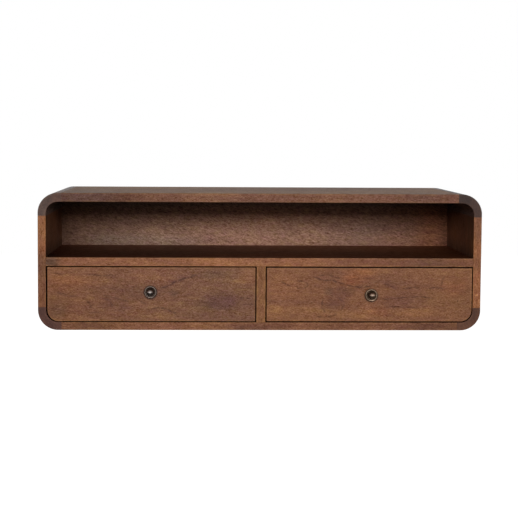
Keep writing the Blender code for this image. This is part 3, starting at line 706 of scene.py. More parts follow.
boardLooks = {}
boardLooks["top_board"] = {
    "seed": 11, "pith": (-0.05, -0.22), "specular": 0.09, "roughness": (0.50, 0.64),
    "tint": (1.05, 1.10, 1.25),
    # Painted shade on its underside over the compartment and on its lower front edge
    "shaded": [(down, (0.25, 0.22, 0.20)), (up, (0.96, 1.08, 0.93)), (lowArris, (0.50, 0.47, 0.43))],
    "marks": [
        ("deep", 95, -440, 34, 100, 50, 0, 400), ("deep", 95, -318, 34, 90, 60),
        ("ash", 85, -400, 34, 120, 60), ("dim", 45, -220, 34, 80, 60), ("gold", 80, -108, 34, 85, 60),
        ("gold", 40, 154, 34, 40, 50), ("grey", 40, 350, 34, 50, 50),
    ],
}
boardLooks["bottom_board"] = {
    # Painted shade on its top face, in the gap under the drawers
    "seed": 12, "pith": (-0.05, -0.60), "tint": (1.13, 1.07, 0.98), "shaded": [(up, gapShadeTint)],
    "marks": [
        ("deep", 45, -405, -247, 75, 50), ("dim", 80, -365, -247, 60, 50),
        ("light", 33, -190, -247, 80, 50), ("dim", 60, 30, -247, 60, 50), ("gold", 95, -108, -247, 70, 50),
        ("deep", 35, -20, -247, 45, 50), ("deep", 38, 155, -247, 60, 50), ("deep", 65, 395, -247, 110, 50),
    ],
    "strokes": [
        (60, 1.4, (-407, -240.2), (-372, -240.4), (-345, -240.8), (-303, -240.6)),
    ],
}
boardLooks["left_side_board"] = {
    "seed": 13, "along": "Z", "pith": (0.2, 0.3), "tint": (1.12, 1.00, 0.86),
    # Painted shade on the inner face: darker all over, deeper towards the shelf and towards the front
    "shaded": [
        (right, (0.53, 0.46, 0.43)), (right, lowWallShadeTint, "Z", -0.065, -0.096),
        (right, (0.50, 0.52, 0.56), "Y", -0.17, -0.29),
    ],
    "marks": [
        ("gold", 95, -476, -22, 50, 80), ("light", 35, -476, -74, 50, 22), ("grey", 80, -476, -116, 50, 42),
        ("ember", 35, -476, -195, 50, 50), ("grey", 60, -476, -180, 50, 60),
    ],
}
boardLooks["right_side_board"] = {
    "seed": 14, "along": "Z", "pith": (0.2, -0.3), "tint": (1.19, 1.03, 0.92),
    # Painted shade on the inner face: darker all over, deeper towards the shelf, the front and the top
    "shaded": [
        (left, (0.51, 0.45, 0.42)), (left, lowWallShadeTint, "Z", -0.065, -0.096),
        (left, (0.64, 0.64, 0.66), "Y", -0.17, -0.29), (left, (0.56, 0.56, 0.58), "Z", -0.060, -0.004),
    ],
    "marks": [
        ("gold", 95, 476, -195, 50, 50), ("gold", 95, 476, -140, 50, 34), ("gold", 50, 476, -78, 50, 34),
        ("dim", 60, 476, -55, 50, 20), ("dim", 75, 476, -108, 50, 26), ("grey", 65, 476, -12, 50, 60),
        ("pale", 90, 476, -178, 2.2, 3),
    ],
}
boardLooks["middle_shelf"] = {
    "seed": 15, "pith": (-0.1, -0.4), "tint": (1.43, 1.40, 1.32), "specular": 0.07,
    # Painted shade on its top, deeper towards the front and towards the left, on its top front edge, and on its
    # underside in the gap
    "shaded": [
        (up, (0.54, 0.35, 0.25)), (up, (0.37, 0.37, 0.37), "Y", -0.03, -0.19),
        (up, (0.68, 0.61, 0.59), "X", 0.25, -0.20), (topArris, (0.16, 0.15, 0.15)), (down, gapShadeTint),
    ],
    "marks": [
        ("grey", 100, -462, -106, 37, 60), ("grey", 100, -464, -106, 34, 60),
        ("light", 32, -95, -106, 70, 60), ("light", 28, 85, -106, 60, 60), ("gold", 35, 132, -106, 50, 40),
        ("grey", 70, 373, -106, 70, 40), ("dim", 45, 340, -106, 200, 60), ("dim", 60, 455, -106, 50, 60),
    ],
}
boardLooks["center_divider"] = {
    "seed": 16, "along": "Z", "pith": (0.1, 0.2), "tint": (1.29, 1.29, 0.96),
    # Painted shade on its sides, in the gap between the drawers
    "shaded": [(left, gapShadeTint), (right, gapShadeTint)],
}
shelfPlan = {
    "stop": 0.012,             # the housed ends of shelf and divider start this far behind the front
    "middle_shelf": ("left_side_board", "right_side_board"),    # what each is housed in
    "center_divider": ("bottom_board", "middle_shelf"),
}


def makeBoard(name):
    low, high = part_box(name)
    length, thickness = (2, 0) if boardLooks[name].get("along") == "Z" else (0, 2)    # their axes
    start, end, tight = low[length], high[length], edgeWork["tightJoint"]
    if name in shelfPlan:
        # Its front stands between its neighbours, and behind a shoulder its ends are let into them
        before, after = [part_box(neighbour) for neighbour in shelfPlan[name]]
        seenStart, seenEnd = before[1][length] + tight, after[0][length] - tight
        shoulder = low.y + shelfPlan["stop"]
        outline = [
            (seenStart, low.y, 1), (seenEnd, low.y, 1), (seenEnd, shoulder, 0), (end, shoulder, 0),
            (end, high.y, 0), (start, high.y, 0), (start, shoulder, 0), (seenStart, shoulder, 0),
        ]
    else:
        start, end = start - tight, end + tight
        outline = [(start, low.y, 1), (end, low.y, 1), (end, high.y, -1), (start, high.y, -1)]

    def planAt(inset):
        points = [(along, y + way * inset) for along, y, way in outline]
        if length == 0:
            return points
        # Turned over, so the outline runs back
        return [(y, along) for along, y in (points[0], *reversed(points[1:]))]

    shape = easedSlab(planAt, low[thickness], high[thickness], thickness)
    finishWoodPiece(name, shape, boardLooks[name], "case", "stained_wood")


for name in boardLooks:
    makeBoard(name)
print("boards made")


# Corner blocks: a bar bent round the corner, from its outer line to its inner line

cornerPlan = {
    "outerRadius": 0.044,
    "innerRadius": 0.0265,
    "stepsAround": 72,
    "pithAway": 0.30,          # from the outer face to the heart of the log
    # Painted shade on the inner curved face, which looks into the case
    "innerShadeTint": (0.20, 0.16, 0.14),
}
cornerLooks = {}
cornerLooks["corner_block_top_left"] = {
    "seed": 21,
    "deep": (0.040, 0.025, 0.0215), "body": (0.074, 0.045, 0.0365), "warm": (0.122, 0.0735, 0.054),
    "marks": [
        ("russet", 100, -435, 32, 34, 60),
    ],
}
cornerLooks["corner_block_top_right"] = {
    "seed": 22,
    "deep": (0.022, 0.013, 0.011), "body": (0.041, 0.0225, 0.018), "warm": (0.077, 0.0385, 0.0265),
}
cornerLooks["corner_block_bottom_left"] = {
    "seed": 23, "deep": (0.038, 0.016, 0.013), "body": (0.070, 0.029, 0.021), "warm": (0.119, 0.052, 0.036),
}
cornerLooks["corner_block_bottom_right"] = {
    "seed": 24, "deep": (0.042, 0.018, 0.012), "body": (0.083, 0.034, 0.020), "warm": (0.139, 0.060, 0.033),
}


def newGeometryTree(name, **labels):
    # labels: the names of the inputs of each kind
    tree = bpy.data.node_groups.new(name, "GeometryNodeTree")
    begin(tree)
    for kind, names in {"Geometry": ["Geometry"], **labels, "Material": ["Material"]}.items():
        for label in names:
            tree.interface.new_socket(label, in_out="INPUT", socket_type="NodeSocket" + kind)
    tree.interface.new_socket("Geometry", in_out="OUTPUT", socket_type="NodeSocketGeometry")
    return tree, add("NodeGroupInput").outputs


def closeGeometryTree(geometry, material):
    real = tap("GeometryNodeRealizeInstances", {"Geometry": geometry})
    painted = tap("GeometryNodeSetMaterial", {"Geometry": real, "Material": material})
    add("NodeGroupOutput", {0: painted})


def runGeometryTree(carrier, tree, values):
    # Sets the named inputs by their identifiers, evaluates the tree once and keeps the plain mesh
    modifier = carrier.modifiers.new(tree.name, "NODES")
    modifier.node_group = tree
    for item in tree.interface.items_tree:
        if item.item_type == "SOCKET" and item.in_out == "INPUT" and item.name in values:
            modifier[item.identifier] = values[item.name]
    return plainMesh(carrier)


def spine(count):
    # A straight line up, with evenly spread points
    line = tap("GeometryNodeCurvePrimitiveLine", {"Start": (0.0, 0.0, 0.0), "End": (0.0, 0.0, 1.0)})
    return tap("GeometryNodeResampleCurve", {"Curve": line, "Count": count})


def sweep(curve, profile, **more):
    values = {"Curve": curve, "Profile Curve": profile, "Fill Caps": True, **more}
    return tap("GeometryNodeCurveToMesh", values)


def bentLine(given, side):
    # Straight, arc, straight: a line through three points with its corner rounded
    ends = {"Start": given[side + " Flat End"], "End": given[side + " Upright End"]}
    line = tap("GeometryNodeCurvePrimitiveLine", ends)
    three = tap("GeometryNodeResampleCurve", {"Curve": line, "Count": 3})
    index = tap("GeometryNodeInputIndex")
    isMiddle = tap("FunctionNodeCompare", {2: index, 3: 1}, data_type="INT", operation="EQUAL")
    moved = {"Geometry": three, "Selection": isMiddle, "Position": given[side + " Corner"]}
    rounded = {
        "Curve": tap("GeometryNodeSetPosition", moved),
        "Radius": given[side + " Radius"],
        "Count": given["Steps Around"],
    }
    return tap("GeometryNodeFilletCurve", rounded, mode="POLY")


def cornerTree():
    places = [side + part for side in ("Outer", "Inner") for part in (" Corner", " Flat End", " Upright End")]
    tree, given = newGeometryTree(
        "bent_corner_block", Vector=places, Float=["Outer Radius", "Inner Radius"], Int=["Steps Around"]
    )
    section = tap("GeometryNodeMeshToCurve", {"Mesh": given["Geometry"]})
    bar = sweep(spine(given["Steps Around"]), section)
    along = split(tap("GeometryNodeInputPosition"))["Z"]
    points = []
    for side in ("Outer", "Inner"):
        values = {"Curves": bentLine(given, side), "Factor": along}
        points.append(tap("GeometryNodeSampleCurve", values, "Position", mode="FACTOR", use_all_curves=True))
    across = tap("GeometryNodeInputNamedAttribute", {"Name": "across"}, data_type="FLOAT")
    depth = tap("GeometryNodeInputNamedAttribute", {"Name": "depth"}, data_type="FLOAT")
    between = tap("ShaderNodeMix", {0: across, 4: points[0], 5: points[1]}, 1, data_type="VECTOR")
    target = vectorCalc("ADD", between, join(0.0, depth, 0.0))
    bent = tap("GeometryNodeSetPosition", {"Geometry": bar, "Position": target})
    closeGeometryTree(bent, given["Material"])
    return tree


def cornerSection(frontY, rearY, thickness):
    # A closed loop: share of the thickness from outer to inner, depth, and wear at each point
    ease, steps, band = edgeWork["ease"], edgeWork["steps"], edgeWork["wornBand"]
    loop = []
    for x, y, wayX, wayY, start in rectangleCorners(0.0, thickness, frontY, rearY):
        turn = quarter(x + wayX * ease, y + wayY * ease, ease, start, steps)
        upright, flat = (0.0, wayY * band), (wayX * band, 0.0)
        leadIn, leadOut = (upright, flat) if start in (0.0, math.pi) else (flat, upright)
        loop.append((turn[0][0] + leadIn[0], turn[0][1] + leadIn[1], 0.0))
        loop += [(a, b, edgeWear(step / steps)) for step, (a, b) in enumerate(turn)]
        loop.append((turn[-1][0] + leadOut[0], turn[-1][1] + leadOut[1], 0.0))
    mesh = bpy.data.meshes.new("corner_section")
    count = len(loop)
    mesh.from_pydata([(a, b, 0.0) for a, b, _ in loop], [(i, (i + 1) % count) for i in range(count)], [])
    for label, values in (
        ("across", [a / thickness for a, _, _ in loop]),
        ("depth", [b for _, b, _ in loop]),
        ("wear", [wear for _, _, wear in loop]),
    ):
        mesh.attributes.new(label, "FLOAT", "POINT").data.foreach_set("value", values)
    return linkObject("corner_section", mesh)


def makeCornerBlocks():
    tree = cornerTree()
    for name, look in cornerLooks.items():
        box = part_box(name)
        toRight, toTop = "right" in name, "top" in name    # each also picks a corner of a box
        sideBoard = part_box("right_side_board" if toRight else "left_side_board")
        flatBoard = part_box("top_board" if toTop else "bottom_board")
        outerX, endX, innerX = box[toRight].x, box[not toRight].x, sideBoard[not toRight].x
        outerZ, endZ, innerZ = box[toTop].z, box[not toTop].z, flatBoard[not toTop].z
        inwardX, inwardZ = (-1 if toRight else 1), (-1 if toTop else 1)
        inward = (inwardX * math.sqrt(0.5), 0.0, inwardZ * math.sqrt(0.5))
        pith = (0.0, outerZ + inwardZ * cornerPlan["pithAway"])
        shaded = [(inward, cornerPlan["innerShadeTint"])]
        material = endGrainMaterial(name + "_finish", **look, pith=pith, shaded=shaded)
        values = {"Steps Around": cornerPlan["stepsAround"], "Material": material}
        for side, x, z in (("Outer", outerX, outerZ), ("Inner", innerX, innerZ)):
            values[side + " Corner"] = (x, 0.0, z)
            values[side + " Flat End"] = (endX, 0.0, z)
            values[side + " Upright End"] = (x, 0.0, endZ)
            values[side + " Radius"] = cornerPlan[side.lower() + "Radius"]
        section = cornerSection(box[0].y, box[1].y, abs(outerX - innerX))
        shape = shapeOf(runGeometryTree(section, tree, values))
        assign(finishMesh(name + "_wood", shape, material), "case", "end_grain_wood", name)


makeCornerBlocks()
print("corner blocks bent")


# Drawer fronts

frontPlan = {"roundCorner": 0.0245, "smallCorner": 0.0018, "roundSteps": 28, "smallSteps": 4}

# Painted shade on the narrow faces round each front, so the gaps read dark
frontGapShades = [(way, (0.22, 0.14, 0.07)) for way in (left, right, up, down)]

frontLooks = {}
frontLooks["left_drawer_front"] = {
    "seed": 31, "pith": (-0.10, -0.34), "tint": (1.06, 1.07, 1.01),
    # Painted shade on the narrow faces and rounded edges beside the gaps; the courses along X change the tone
    "shaded": [
        *frontGapShades, (leftArris, (0.30, 0.23, 0.17)), (rightArris, (0.45, 0.35, 0.24)),
        (topArris, (0.70, 0.60, 0.48)),
        (front, (1.05, 0.99, 0.92), "X", -0.28, -0.46), (front, (0.95, 1.00, 1.09), "X", -0.30, -0.10),
    ],
    # Painted shadow round the knob's rosette
    "rosetteShadow": (-0.2401, -0.1735, 0.0136, 0.0170),
    "marks": [
        ("violet", 55, -187, -150, 55, 14, 27.5), ("violet", 95, -83, -191, 55, 34),
        ("grey", 45, -121, -199, 40, 20), ("grey", 55, -103, -133, 48, 14, 6),
        ("violet", 65, -319, -196, 40, 20, -12), ("violet", 45, -294, -209, 22, 16),
        ("grey", 60, -445, -216, 30, 26), ("light", 30, -230, -132, 110, 26),
        ("light", 25, -255, -140, 50, 20), ("warm", 55, -20, -136, 40, 40), ("dim", 50, -283, -185, 34, 18),
        ("light", 25, -205, -150, 40, 20), ("dim", 90, -445, -200, 50, 45),
        ("dim", 35, -150, -212, 120, 26), ("grey", 60, -190, -174, 16, 12),
        ("gold", 80, -49, -150, 26, 14, 10), ("gold", 70, -217, -224, 40, 12),
        ("gold", 40, -138, -181, 20, 8), ("gold", 50, -269, -216, 36, 12), ("red", 40, -424, -152, 70, 26),
        ("gold", 40, -380, -150, 80, 30),
    ],
    "strokes": [
        (75, 3.8, (-216, -164), (-199, -158), (-182, -147), (-158, -140), (-138, -133)),
        (68, 3.2, (-236, -207.5), (-219, -206), (-205.5, -209), (-192, -217), (-182, -220)),
        (60, 3.4, (-46, -187), (-34, -183), (-20, -187)), (45, 3, (-39, -199), (-15, -199)),
        (51, 3.4, (-385, -189), (-371, -197), (-368, -209)),
        (51, 3.6, (-341, -186), (-328, -192), (-323, -206)), (51, 3, (-375, -217.5), (-348, -217)),
        (54, 3.4, (-344.5, -180), (-323, -182), (-302, -189), (-287, -194)),
        (51, 3.6, (-444, -174), (-418.5, -181), (-395, -182)), (51, 3.2, (-455.5, -130), (-425, -133.5)),
        (51, 3.2, (-378, -133.5), (-344.5, -137), (-317.5, -135)), (54, 4, (-264, -192), (-250, -199)),
    ],
}
frontLooks["right_drawer_front"] = {
    "seed": 32, "pith": (-0.10, -0.50), "tint": (1.14, 1.10, 0.98),
    "relief": (0.28, 0.98), "streaks": 0.19, "tone": 0.72,
    # Painted shade on the narrow faces and rounded edges beside the gaps
    "shaded": [
        *frontGapShades, (leftArris, (0.33, 0.26, 0.18)), (topArris, (0.15, 0.10, 0.06)),
        (lowArris, (0.30, 0.22, 0.14)),
    ],
    # Painted shadow round the knob's rosette
    "rosetteShadow": (0.2435, -0.1792, 0.0136, 0.0170),
    "marks": [
        ("violet", 75, 170, -185, 46, 30, 35), ("grey", 80, 150, -170.5, 16, 12),
        ("warm", 85, 215, -134, 50, 26), ("warm", 60, 194, -148, 34, 18), ("dim", 75, 192, -169, 30, 14),
        ("dim", 55, 150, -206, 40, 18), ("light", 28, 238, -208, 30, 18), ("light", 26, 50, -165, 60, 50),
        ("warm", 50, 262, -214, 34, 16), ("dim", 45, 395, -190, 80, 45), ("dim", 50, 450, -185, 40, 60),
        ("violet", 85, 318, -186, 75, 30), ("violet", 40, 290, -158, 30, 14, -20),
        ("gold", 70, 29, -214, 40, 24), ("gold", 60, 226, -219, 36, 18), ("gold", 95, 343, -216, 80, 16),
        ("gold", 50, 427, -215, 40, 22), ("gold", 70, 252, -125, 60, 10), ("red", 50, 428, -157, 45, 40),
        ("grey", 40, 423.7, -142, 30, 22), ("dark", 100, 433.3, -191, 2, 2),
    ],
    "strokes": [
        (83, 3.4, (115, -138.5), (137, -145), (157, -145.5), (170, -150), (187, -154), (204, -159.5),
         (227.5, -161), (244, -159)),
        (57, 3, (127, -135), (143, -133), (164, -138.5), (175, -142)),
        (51, 3, (197, -143), (221, -142), (251, -140)), (63, 2.8, (44, -148.5), (56, -154.5), (68, -159)),
        (66, 2.8, (81, -147), (95, -148.5), (104, -154.5), (103, -160), (93, -163.5), (81, -164)),
        (60, 3.6, (137, -185.5), (135, -206), (142.5, -217)),
        (51, 3.6, (170, -182), (185.5, -196), (179, -211)), (60, 3.4, (123, -226), (137, -227)),
        (60, 3.4, (147, -226), (158.5, -224.5), (167, -219)),
        (57, 3.4, (316, -164), (336, -161), (351, -164)),
        (60, 3.4, (370, -163), (385, -159.5), (403.5, -164)),
        (60, 3.4, (397, -157), (399, -145), (403.5, -137)),
        (51, 3.4, (272, -151), (286, -157), (299, -165)),
        (60, 2.6, (267, -187), (292.5, -185.5), (329.5, -182), (350, -182), (383, -185)),
        (54, 3, (282, -202.5), (313, -205), (353, -205)),
    ],
}


def makeDrawerFront(side):
    name = side + "_drawer_front"
    low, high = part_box(name)
    big, small = frontPlan["roundCorner"], frontPlan["smallCorner"]
    radii = (big, small, small, small) if side == "left" else (small, big, small, small)

    def planAt(inset):
        outline = []
        corners = rectangleCorners(low.x, high.x, low.z, high.z)
        for (x, z, wayX, wayZ, start), radius in zip(corners, radii):
            steps = frontPlan["roundSteps" if radius == big else "smallSteps"]
            reach = max(radius, inset)   # a corner tighter than the inset closes to a point
            outline += quarter(x + wayX * reach, z + wayZ * reach, reach - inset, start, steps)
        return outline

    shape = easedSlab(planAt, low.y, high.y, 1)
    finishWoodPiece(name, shape, frontLooks[name], side + "_drawer", "drawer_front_wood")


makeDrawerFront("left")
makeDrawerFront("right")
print("drawer fronts made")


# Inner pieces: panel, rails, runners and drawer boxes keep their CAD shapes, softened a little

panelLook = {
    "seed": 41, "markDepth": -0.028, "flecks": 0.85, "streaks": 0.20, "rings": 0.20, "patches": 0.45,
    # Painted shadow of the top board on the panel's upper part, darkest at its top
    "shaded": [
        (front, (0.96, 0.85, 0.70), "Z", -0.065, -0.012), (front, (0.30, 0.30, 0.30), "Z", -0.016, 0.008),
    ],
    "deep": (0.110, 0.056, 0.042), "body": (0.225, 0.118, 0.080), "warm": (0.330, 0.180, 0.110),
    "pith": (0.2, -0.5),
    # Tone and painted light: the light spots over the middle are a painted pool of light, the deep spots at
    # both ends painted shade beside the side walls, the red and ember at the right end a painted reddish glow,
    # and the dim spots darken its upper part; haze, gold and grey are tone
    "marks": [
        ("light", 90, 30, -60, 360, 140), ("deep", 60, -470, -40, 260, 200),
        ("red", 70, 385, -60, 130, 160), ("gold", 35, 390, -70, 90, 120), ("dim", 98, 355, -37, 110, 36),
        ("dim", 50, -190, -48, 70, 34), ("light", 35, 30, -41, 40, 20), ("dim", 60, -90, -28, 120, 28),
        ("haze", 90, -280, -88, 200, 26), ("haze", 35, -370, -80, 50, 30), ("light", 30, 290, -86, 60, 20),
        ("gold", 45, -249, -80, 60, 60), ("gold", 45, 129, -80, 50, 60), ("grey", 30, 275, -80, 60, 60),
        ("ember", 90, 445, -60, 80, 160), ("deep", 75, 472, -60, 36, 160), ("deep", 60, -470, -40, 60, 160),
        ("deep", 45, -472, -60, 22, 160),
    ],
}
bottomLook = {
    "seed": 42, "streaks": 0.30, "rings": 0.50, "patches": 0.40, "relief": (0.30, 0.80), "tone": 0.6,
    "deep": (0.135, 0.069, 0.044), "body": (0.262, 0.137, 0.083), "warm": (0.390, 0.214, 0.128),
    "pith": (-0.2, -0.9), "specular": 0.25,
}
plainLook = {
    "deep": (0.270, 0.160, 0.085), "body": (0.430, 0.285, 0.165), "warm": (0.560, 0.400, 0.250),
    "roughness": (0.52, 0.68), "specular": 0.35, "rings": 0.70, "streaks": 0.45, "patches": 0.35,
    "streakNoise": (0.060, 0.0034, 3.0, 0.62), "fineNoise": (0.022, 0.0011, 2.0, 0.6),
    "poreNoise": (0.0120, 0.0007, 1.0, 0.5), "relief": (0.20, 0.34), "tone": 0.35, "poreDepth": 0.35,
}
innerPlan = {
    "woodEase": 0.0006,        # radius that the edges are rounded to
    "steelEase": 0.00018,
    "easeSteps": 3,
    "easedAngle": 38.0,        # degrees; flatter edges stay as they are
    "flatAngle": 1.0,          # faces closer to one plane than this become one
    "cadMerge": 0.00001,
}


def softened(nodeName, material, body, slotName, width):
    # A copy of the CAD piece, merged, with its sharp edges rounded off
    shape = shapeOf(cadNodes[nodeName].data)
    bmesh.ops.remove_doubles(shape, verts=shape.verts, dist=innerPlan["cadMerge"])
    flat = math.radians(innerPlan["flatAngle"])
    bmesh.ops.dissolve_limit(
        shape, angle_limit=flat, verts=shape.verts, edges=shape.edges, use_dissolve_boundaries=False
    )
    bmesh.ops.recalc_face_normals(shape, faces=shape.faces)
    mesh = bpy.data.meshes.new(nodeName + "_sharp")
    shape.to_mesh(mesh)
    shape.free()
    carrier = linkObject(nodeName + "_sharp", mesh)
    bevel = carrier.modifiers.new("eased", "BEVEL")
    bevel.width = width
    bevel.segments = innerPlan["easeSteps"]
    bevel.limit_method = "ANGLE"
    bevel.angle_limit = math.radians(innerPlan["easedAngle"])
    bevel.use_clamp_overlap = True
    piece = finishMesh(nodeName + "_eased", shapeOf(plainMesh(carrier)), material)
    assign(piece, body, slotName, nodeName)


def bodyOf(nodeName):
    for side in ("left", "right"):
        if nodeName.startswith((side + "_drawer", side + "_knob")):
            return side + "_drawer"
    return "case"


def makeInnerPieces():
    backVeneer = woodMaterial("back_panel_finish", **panelLook)
    bottomVeneer = woodMaterial("drawer_bottom_finish", **bottomLook)
    plainX = woodMaterial("plain_wood_across", seed=51, along="X", **plainLook)
    plainY = woodMaterial("plain_wood_deep", seed=52, along="Y", **plainLook)
    finishes = [
        # ends of the node's name, finish, slot, kind of edge
        (("back_panel",), backVeneer, "panel_wood", "wood"),
        (("drawer_bottom",), bottomVeneer, "panel_wood", "wood"),
        (("_rail", "drawer_back"), plainX, "inner_wood", "wood"),
        (("runner", "outer_side", "inner_side", "_left", "_right"), plainY, "inner_wood", "wood"),
        (("washer", "keyhole_plate"), zinc, "zinc_plated_steel", "steel"),
    ]
    for name in cadNodes:
        for endings, material, slotName, kind in finishes:
            if name.endswith(endings) and not name.startswith("corner_block"):
                softened(name, material, bodyOf(name), slotName, innerPlan[kind + "Ease"])


zinc = zincMaterial("zinc_finish")
makeInnerPieces()
print("inner pieces made")


# Screws: a tree turns one from its sizes, cuts the cross in its head, winds its thread,
# and sets a copy on every point

screwSizes = {
    "wood": {
        "Head Radius": 0.00335, "Shank Radius": 0.00150, "Tip Radius": 0.00025,
        "Crown": 0.00022, "Rim": 0.00020, "Neck": 0.00175, "Tip": 0.0040,
        "Thread Start": 0.0055, "Pitch": 0.0012, "Thread Depth": 0.00024,
        "Recess Across": 0.0036, "Recess Width": 0.0008, "Recess Depth": 0.0011,
    },
    "knob": {
        "Head Radius": 0.0040, "Shank Radius": 0.00182, "Tip Radius": 0.0013,
        "Crown": 0.0026, "Rim": -0.00008, "Neck": 0.00002, "Tip": 0.0006,
        "Thread Start": 0.0040, "Pitch": 0.0007, "Thread Depth": 0.00017,
        "Recess Across": 0.0044, "Recess Width": 0.0009, "Recess Depth": 0.0015,
    },
}
screwFineness = {"Sides": 32, "Turn Steps": 20, "Seed": 7}
screwPlan = {
    "plateLength": 0.01370,
    "runnerLength": 0.01870,
    "crownCurve": ((-1.0, 0.62), (-0.70, 0.87), (-0.28, 0.985)),    # in crown heights and head radii
    "ridgeSides": 6,
}


def turnedAboutZ(angle):
    return tap("FunctionNodeAxisAngleToRotation", {"Axis": (0.0, 0.0, 1.0), "Angle": angle})


def screwShape(given):
    # The turned body: a line of points, each with its own place and radius
    crown, head, shank = given["Crown"], given["Head Radius"], given["Shank Radius"]
    shankEnd = calc("SUBTRACT", given["Length"], given["Tip"])
    curve = screwPlan["crownCurve"]
    stations = [
        *[(calc("MULTIPLY", crown, rise), calc("MULTIPLY", head, width)) for rise, width in curve],
        (given["Rim"], head),
        (given["Neck"], shank),
        (shankEnd, shank),
        (given["Length"], given["Tip Radius"]),
    ]
    index = tap("GeometryNodeInputIndex")
    fields = []
    for values in zip(*stations):
        switch = add("GeometryNodeIndexSwitch", data_type="FLOAT")
        while len(switch.index_switch_items) < len(values):
            switch.index_switch_items.new()
        for value, socket in zip((index, *values), switch.inputs):
            currentTree.links.new(value, socket)
        fields.append(switch.outputs[0])
    line = {"Geometry": spine(len(stations)), "Position": join(0.0, 0.0, fields[0])}
    kept = add("GeometryNodeCaptureAttribute", {0: tap("GeometryNodeSetPosition", line)}, domain="POINT")
    kept.capture_items.new("FLOAT", "width")
    currentTree.links.new(fields[1], kept.inputs["width"])
    circle = tap("GeometryNodeCurvePrimitiveCircle", {"Resolution": given["Sides"], "Radius": 1.0})
    body = sweep(kept.outputs[0], circle, Scale=kept.outputs["width"])

    # The cross recess
    depth = calc("MULTIPLY", given["Recess Depth"], 2.0)
    size = join(given["Recess Across"], given["Recess Width"], depth)
    bar = tap("GeometryNodeMeshCube", {"Size": size})
    top = join(0.0, 0.0, stations[0][0])
    cross = add("GeometryNodeMeshBoolean", {"Mesh 1": body}, operation="DIFFERENCE", solver="EXACT")
    for angle in (0.0, math.pi / 2):
        moved = {"Geometry": bar, "Translation": top, "Rotation": turnedAboutZ(angle)}
        currentTree.links.new(tap("GeometryNodeTransform", moved), cross.inputs["Mesh 2"])

    # The thread
    threadLength = calc("SUBTRACT", shankEnd, given["Thread Start"])
    spiral = tap("GeometryNodeCurveSpiral", {
        "Resolution": given["Turn Steps"], "Rotations": calc("DIVIDE", threadLength, given["Pitch"]),
        "Start Radius": shank, "End Radius": shank, "Height": threadLength,
    })
    start = join(0.0, 0.0, given["Thread Start"])
    spiral = tap("GeometryNodeTransform", {"Geometry": spiral, "Translation": start})
    ridge = {"Resolution": screwPlan["ridgeSides"], "Radius": given["Thread Depth"]}
    thread = sweep(spiral, tap("GeometryNodeCurvePrimitiveCircle", ridge))
    whole = add("GeometryNodeJoinGeometry")
    for part in (cross.outputs[0], thread):
        currentTree.links.new(part, whole.inputs[0])
    return whole.outputs[0]


def screwTree():
    tree, given = newGeometryTree(
        "screws_on_points", Float=[*screwSizes["wood"], "Length"], Int=list(screwFineness)
    )
    heading = tap("GeometryNodeInputNamedAttribute", {"Name": "heading"}, data_type="FLOAT_VECTOR")
    facing = tap("FunctionNodeAlignRotationToVector", {"Vector": heading}, axis="Z")
    chance = {2: 0.0, 3: math.pi / 2, "Seed": given["Seed"]}
    spin = turnedAboutZ(tap("FunctionNodeRandomValue", chance, "Value", data_type="FLOAT"))
    rotation = {"Rotation": facing, "Rotate By": spin}
    copies = tap("GeometryNodeInstanceOnPoints", {
        "Points": given["Geometry"], "Instance": screwShape(given),
        "Rotation": tap("FunctionNodeRotateRotation", rotation, rotation_space="LOCAL"),
    })
    closeGeometryTree(copies, given["Material"])
    return tree


def makeScrews(name, tree, kind, length, body, places):
    # places: for each node, the point where its head's crown starts and the way the screw points
    mesh = bpy.data.meshes.new(name + "_points")
    mesh.from_pydata([at for at, _ in places.values()], [], [])
    heading = mesh.attributes.new("heading", "FLOAT_VECTOR", "POINT")
    heading.data.foreach_set("vector", [part for _, way in places.values() for part in way])
    values = {**screwSizes[kind], **screwFineness, "Length": length, "Material": zinc}
    finished = runGeometryTree(linkObject(name + "_points", mesh), tree, values)
    finished.name = name
    smoothShading(finished, edgeWork["sharpAngle"])
    assign(linkObject(name, finished), body, "zinc_plated_steel", *places)


def screwStart(name, kind, wayX=0.0):
    low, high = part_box(name)
    at = (low + high) / 2
    sunk = screwSizes[kind]["Crown"]
    if wayX:
        at.x = (high.x if wayX < 0 else low.x) + wayX * sunk
    else:
        at.y = high.y - sunk
    return at, (wayX, 0.0 if wayX else -1.0, 0.0)


def makeAllScrews():
    tree = screwTree()
    plates, runners = {}, {}
    for name in cadNodes:
        if name.endswith("_screw") and "plate" in name:
            plates[name] = screwStart(name, "wood")
        elif name.endswith("_screw") and "runner" in name:
            wayX = -1.0 if name.startswith(("left_outer", "right_inner")) else 1.0
            runners[name] = screwStart(name, "wood", wayX)
    makeScrews("plate_screws", tree, "wood", screwPlan["plateLength"], "case", plates)
    makeScrews("runner_screws", tree, "wood", screwPlan["runnerLength"], "case", runners)
    for side in ("left", "right"):
        name = side + "_knob_screw"
        at, way = screwStart(name, "knob")
        length = at.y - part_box(name)[0].y
        makeScrews(name + "s", tree, "knob", length, side + "_drawer", {name: (at, way)})


makeAllScrews()
print("screws driven")


# Knobs: a ball on a waisted neck, in a dished rosette with a round rim

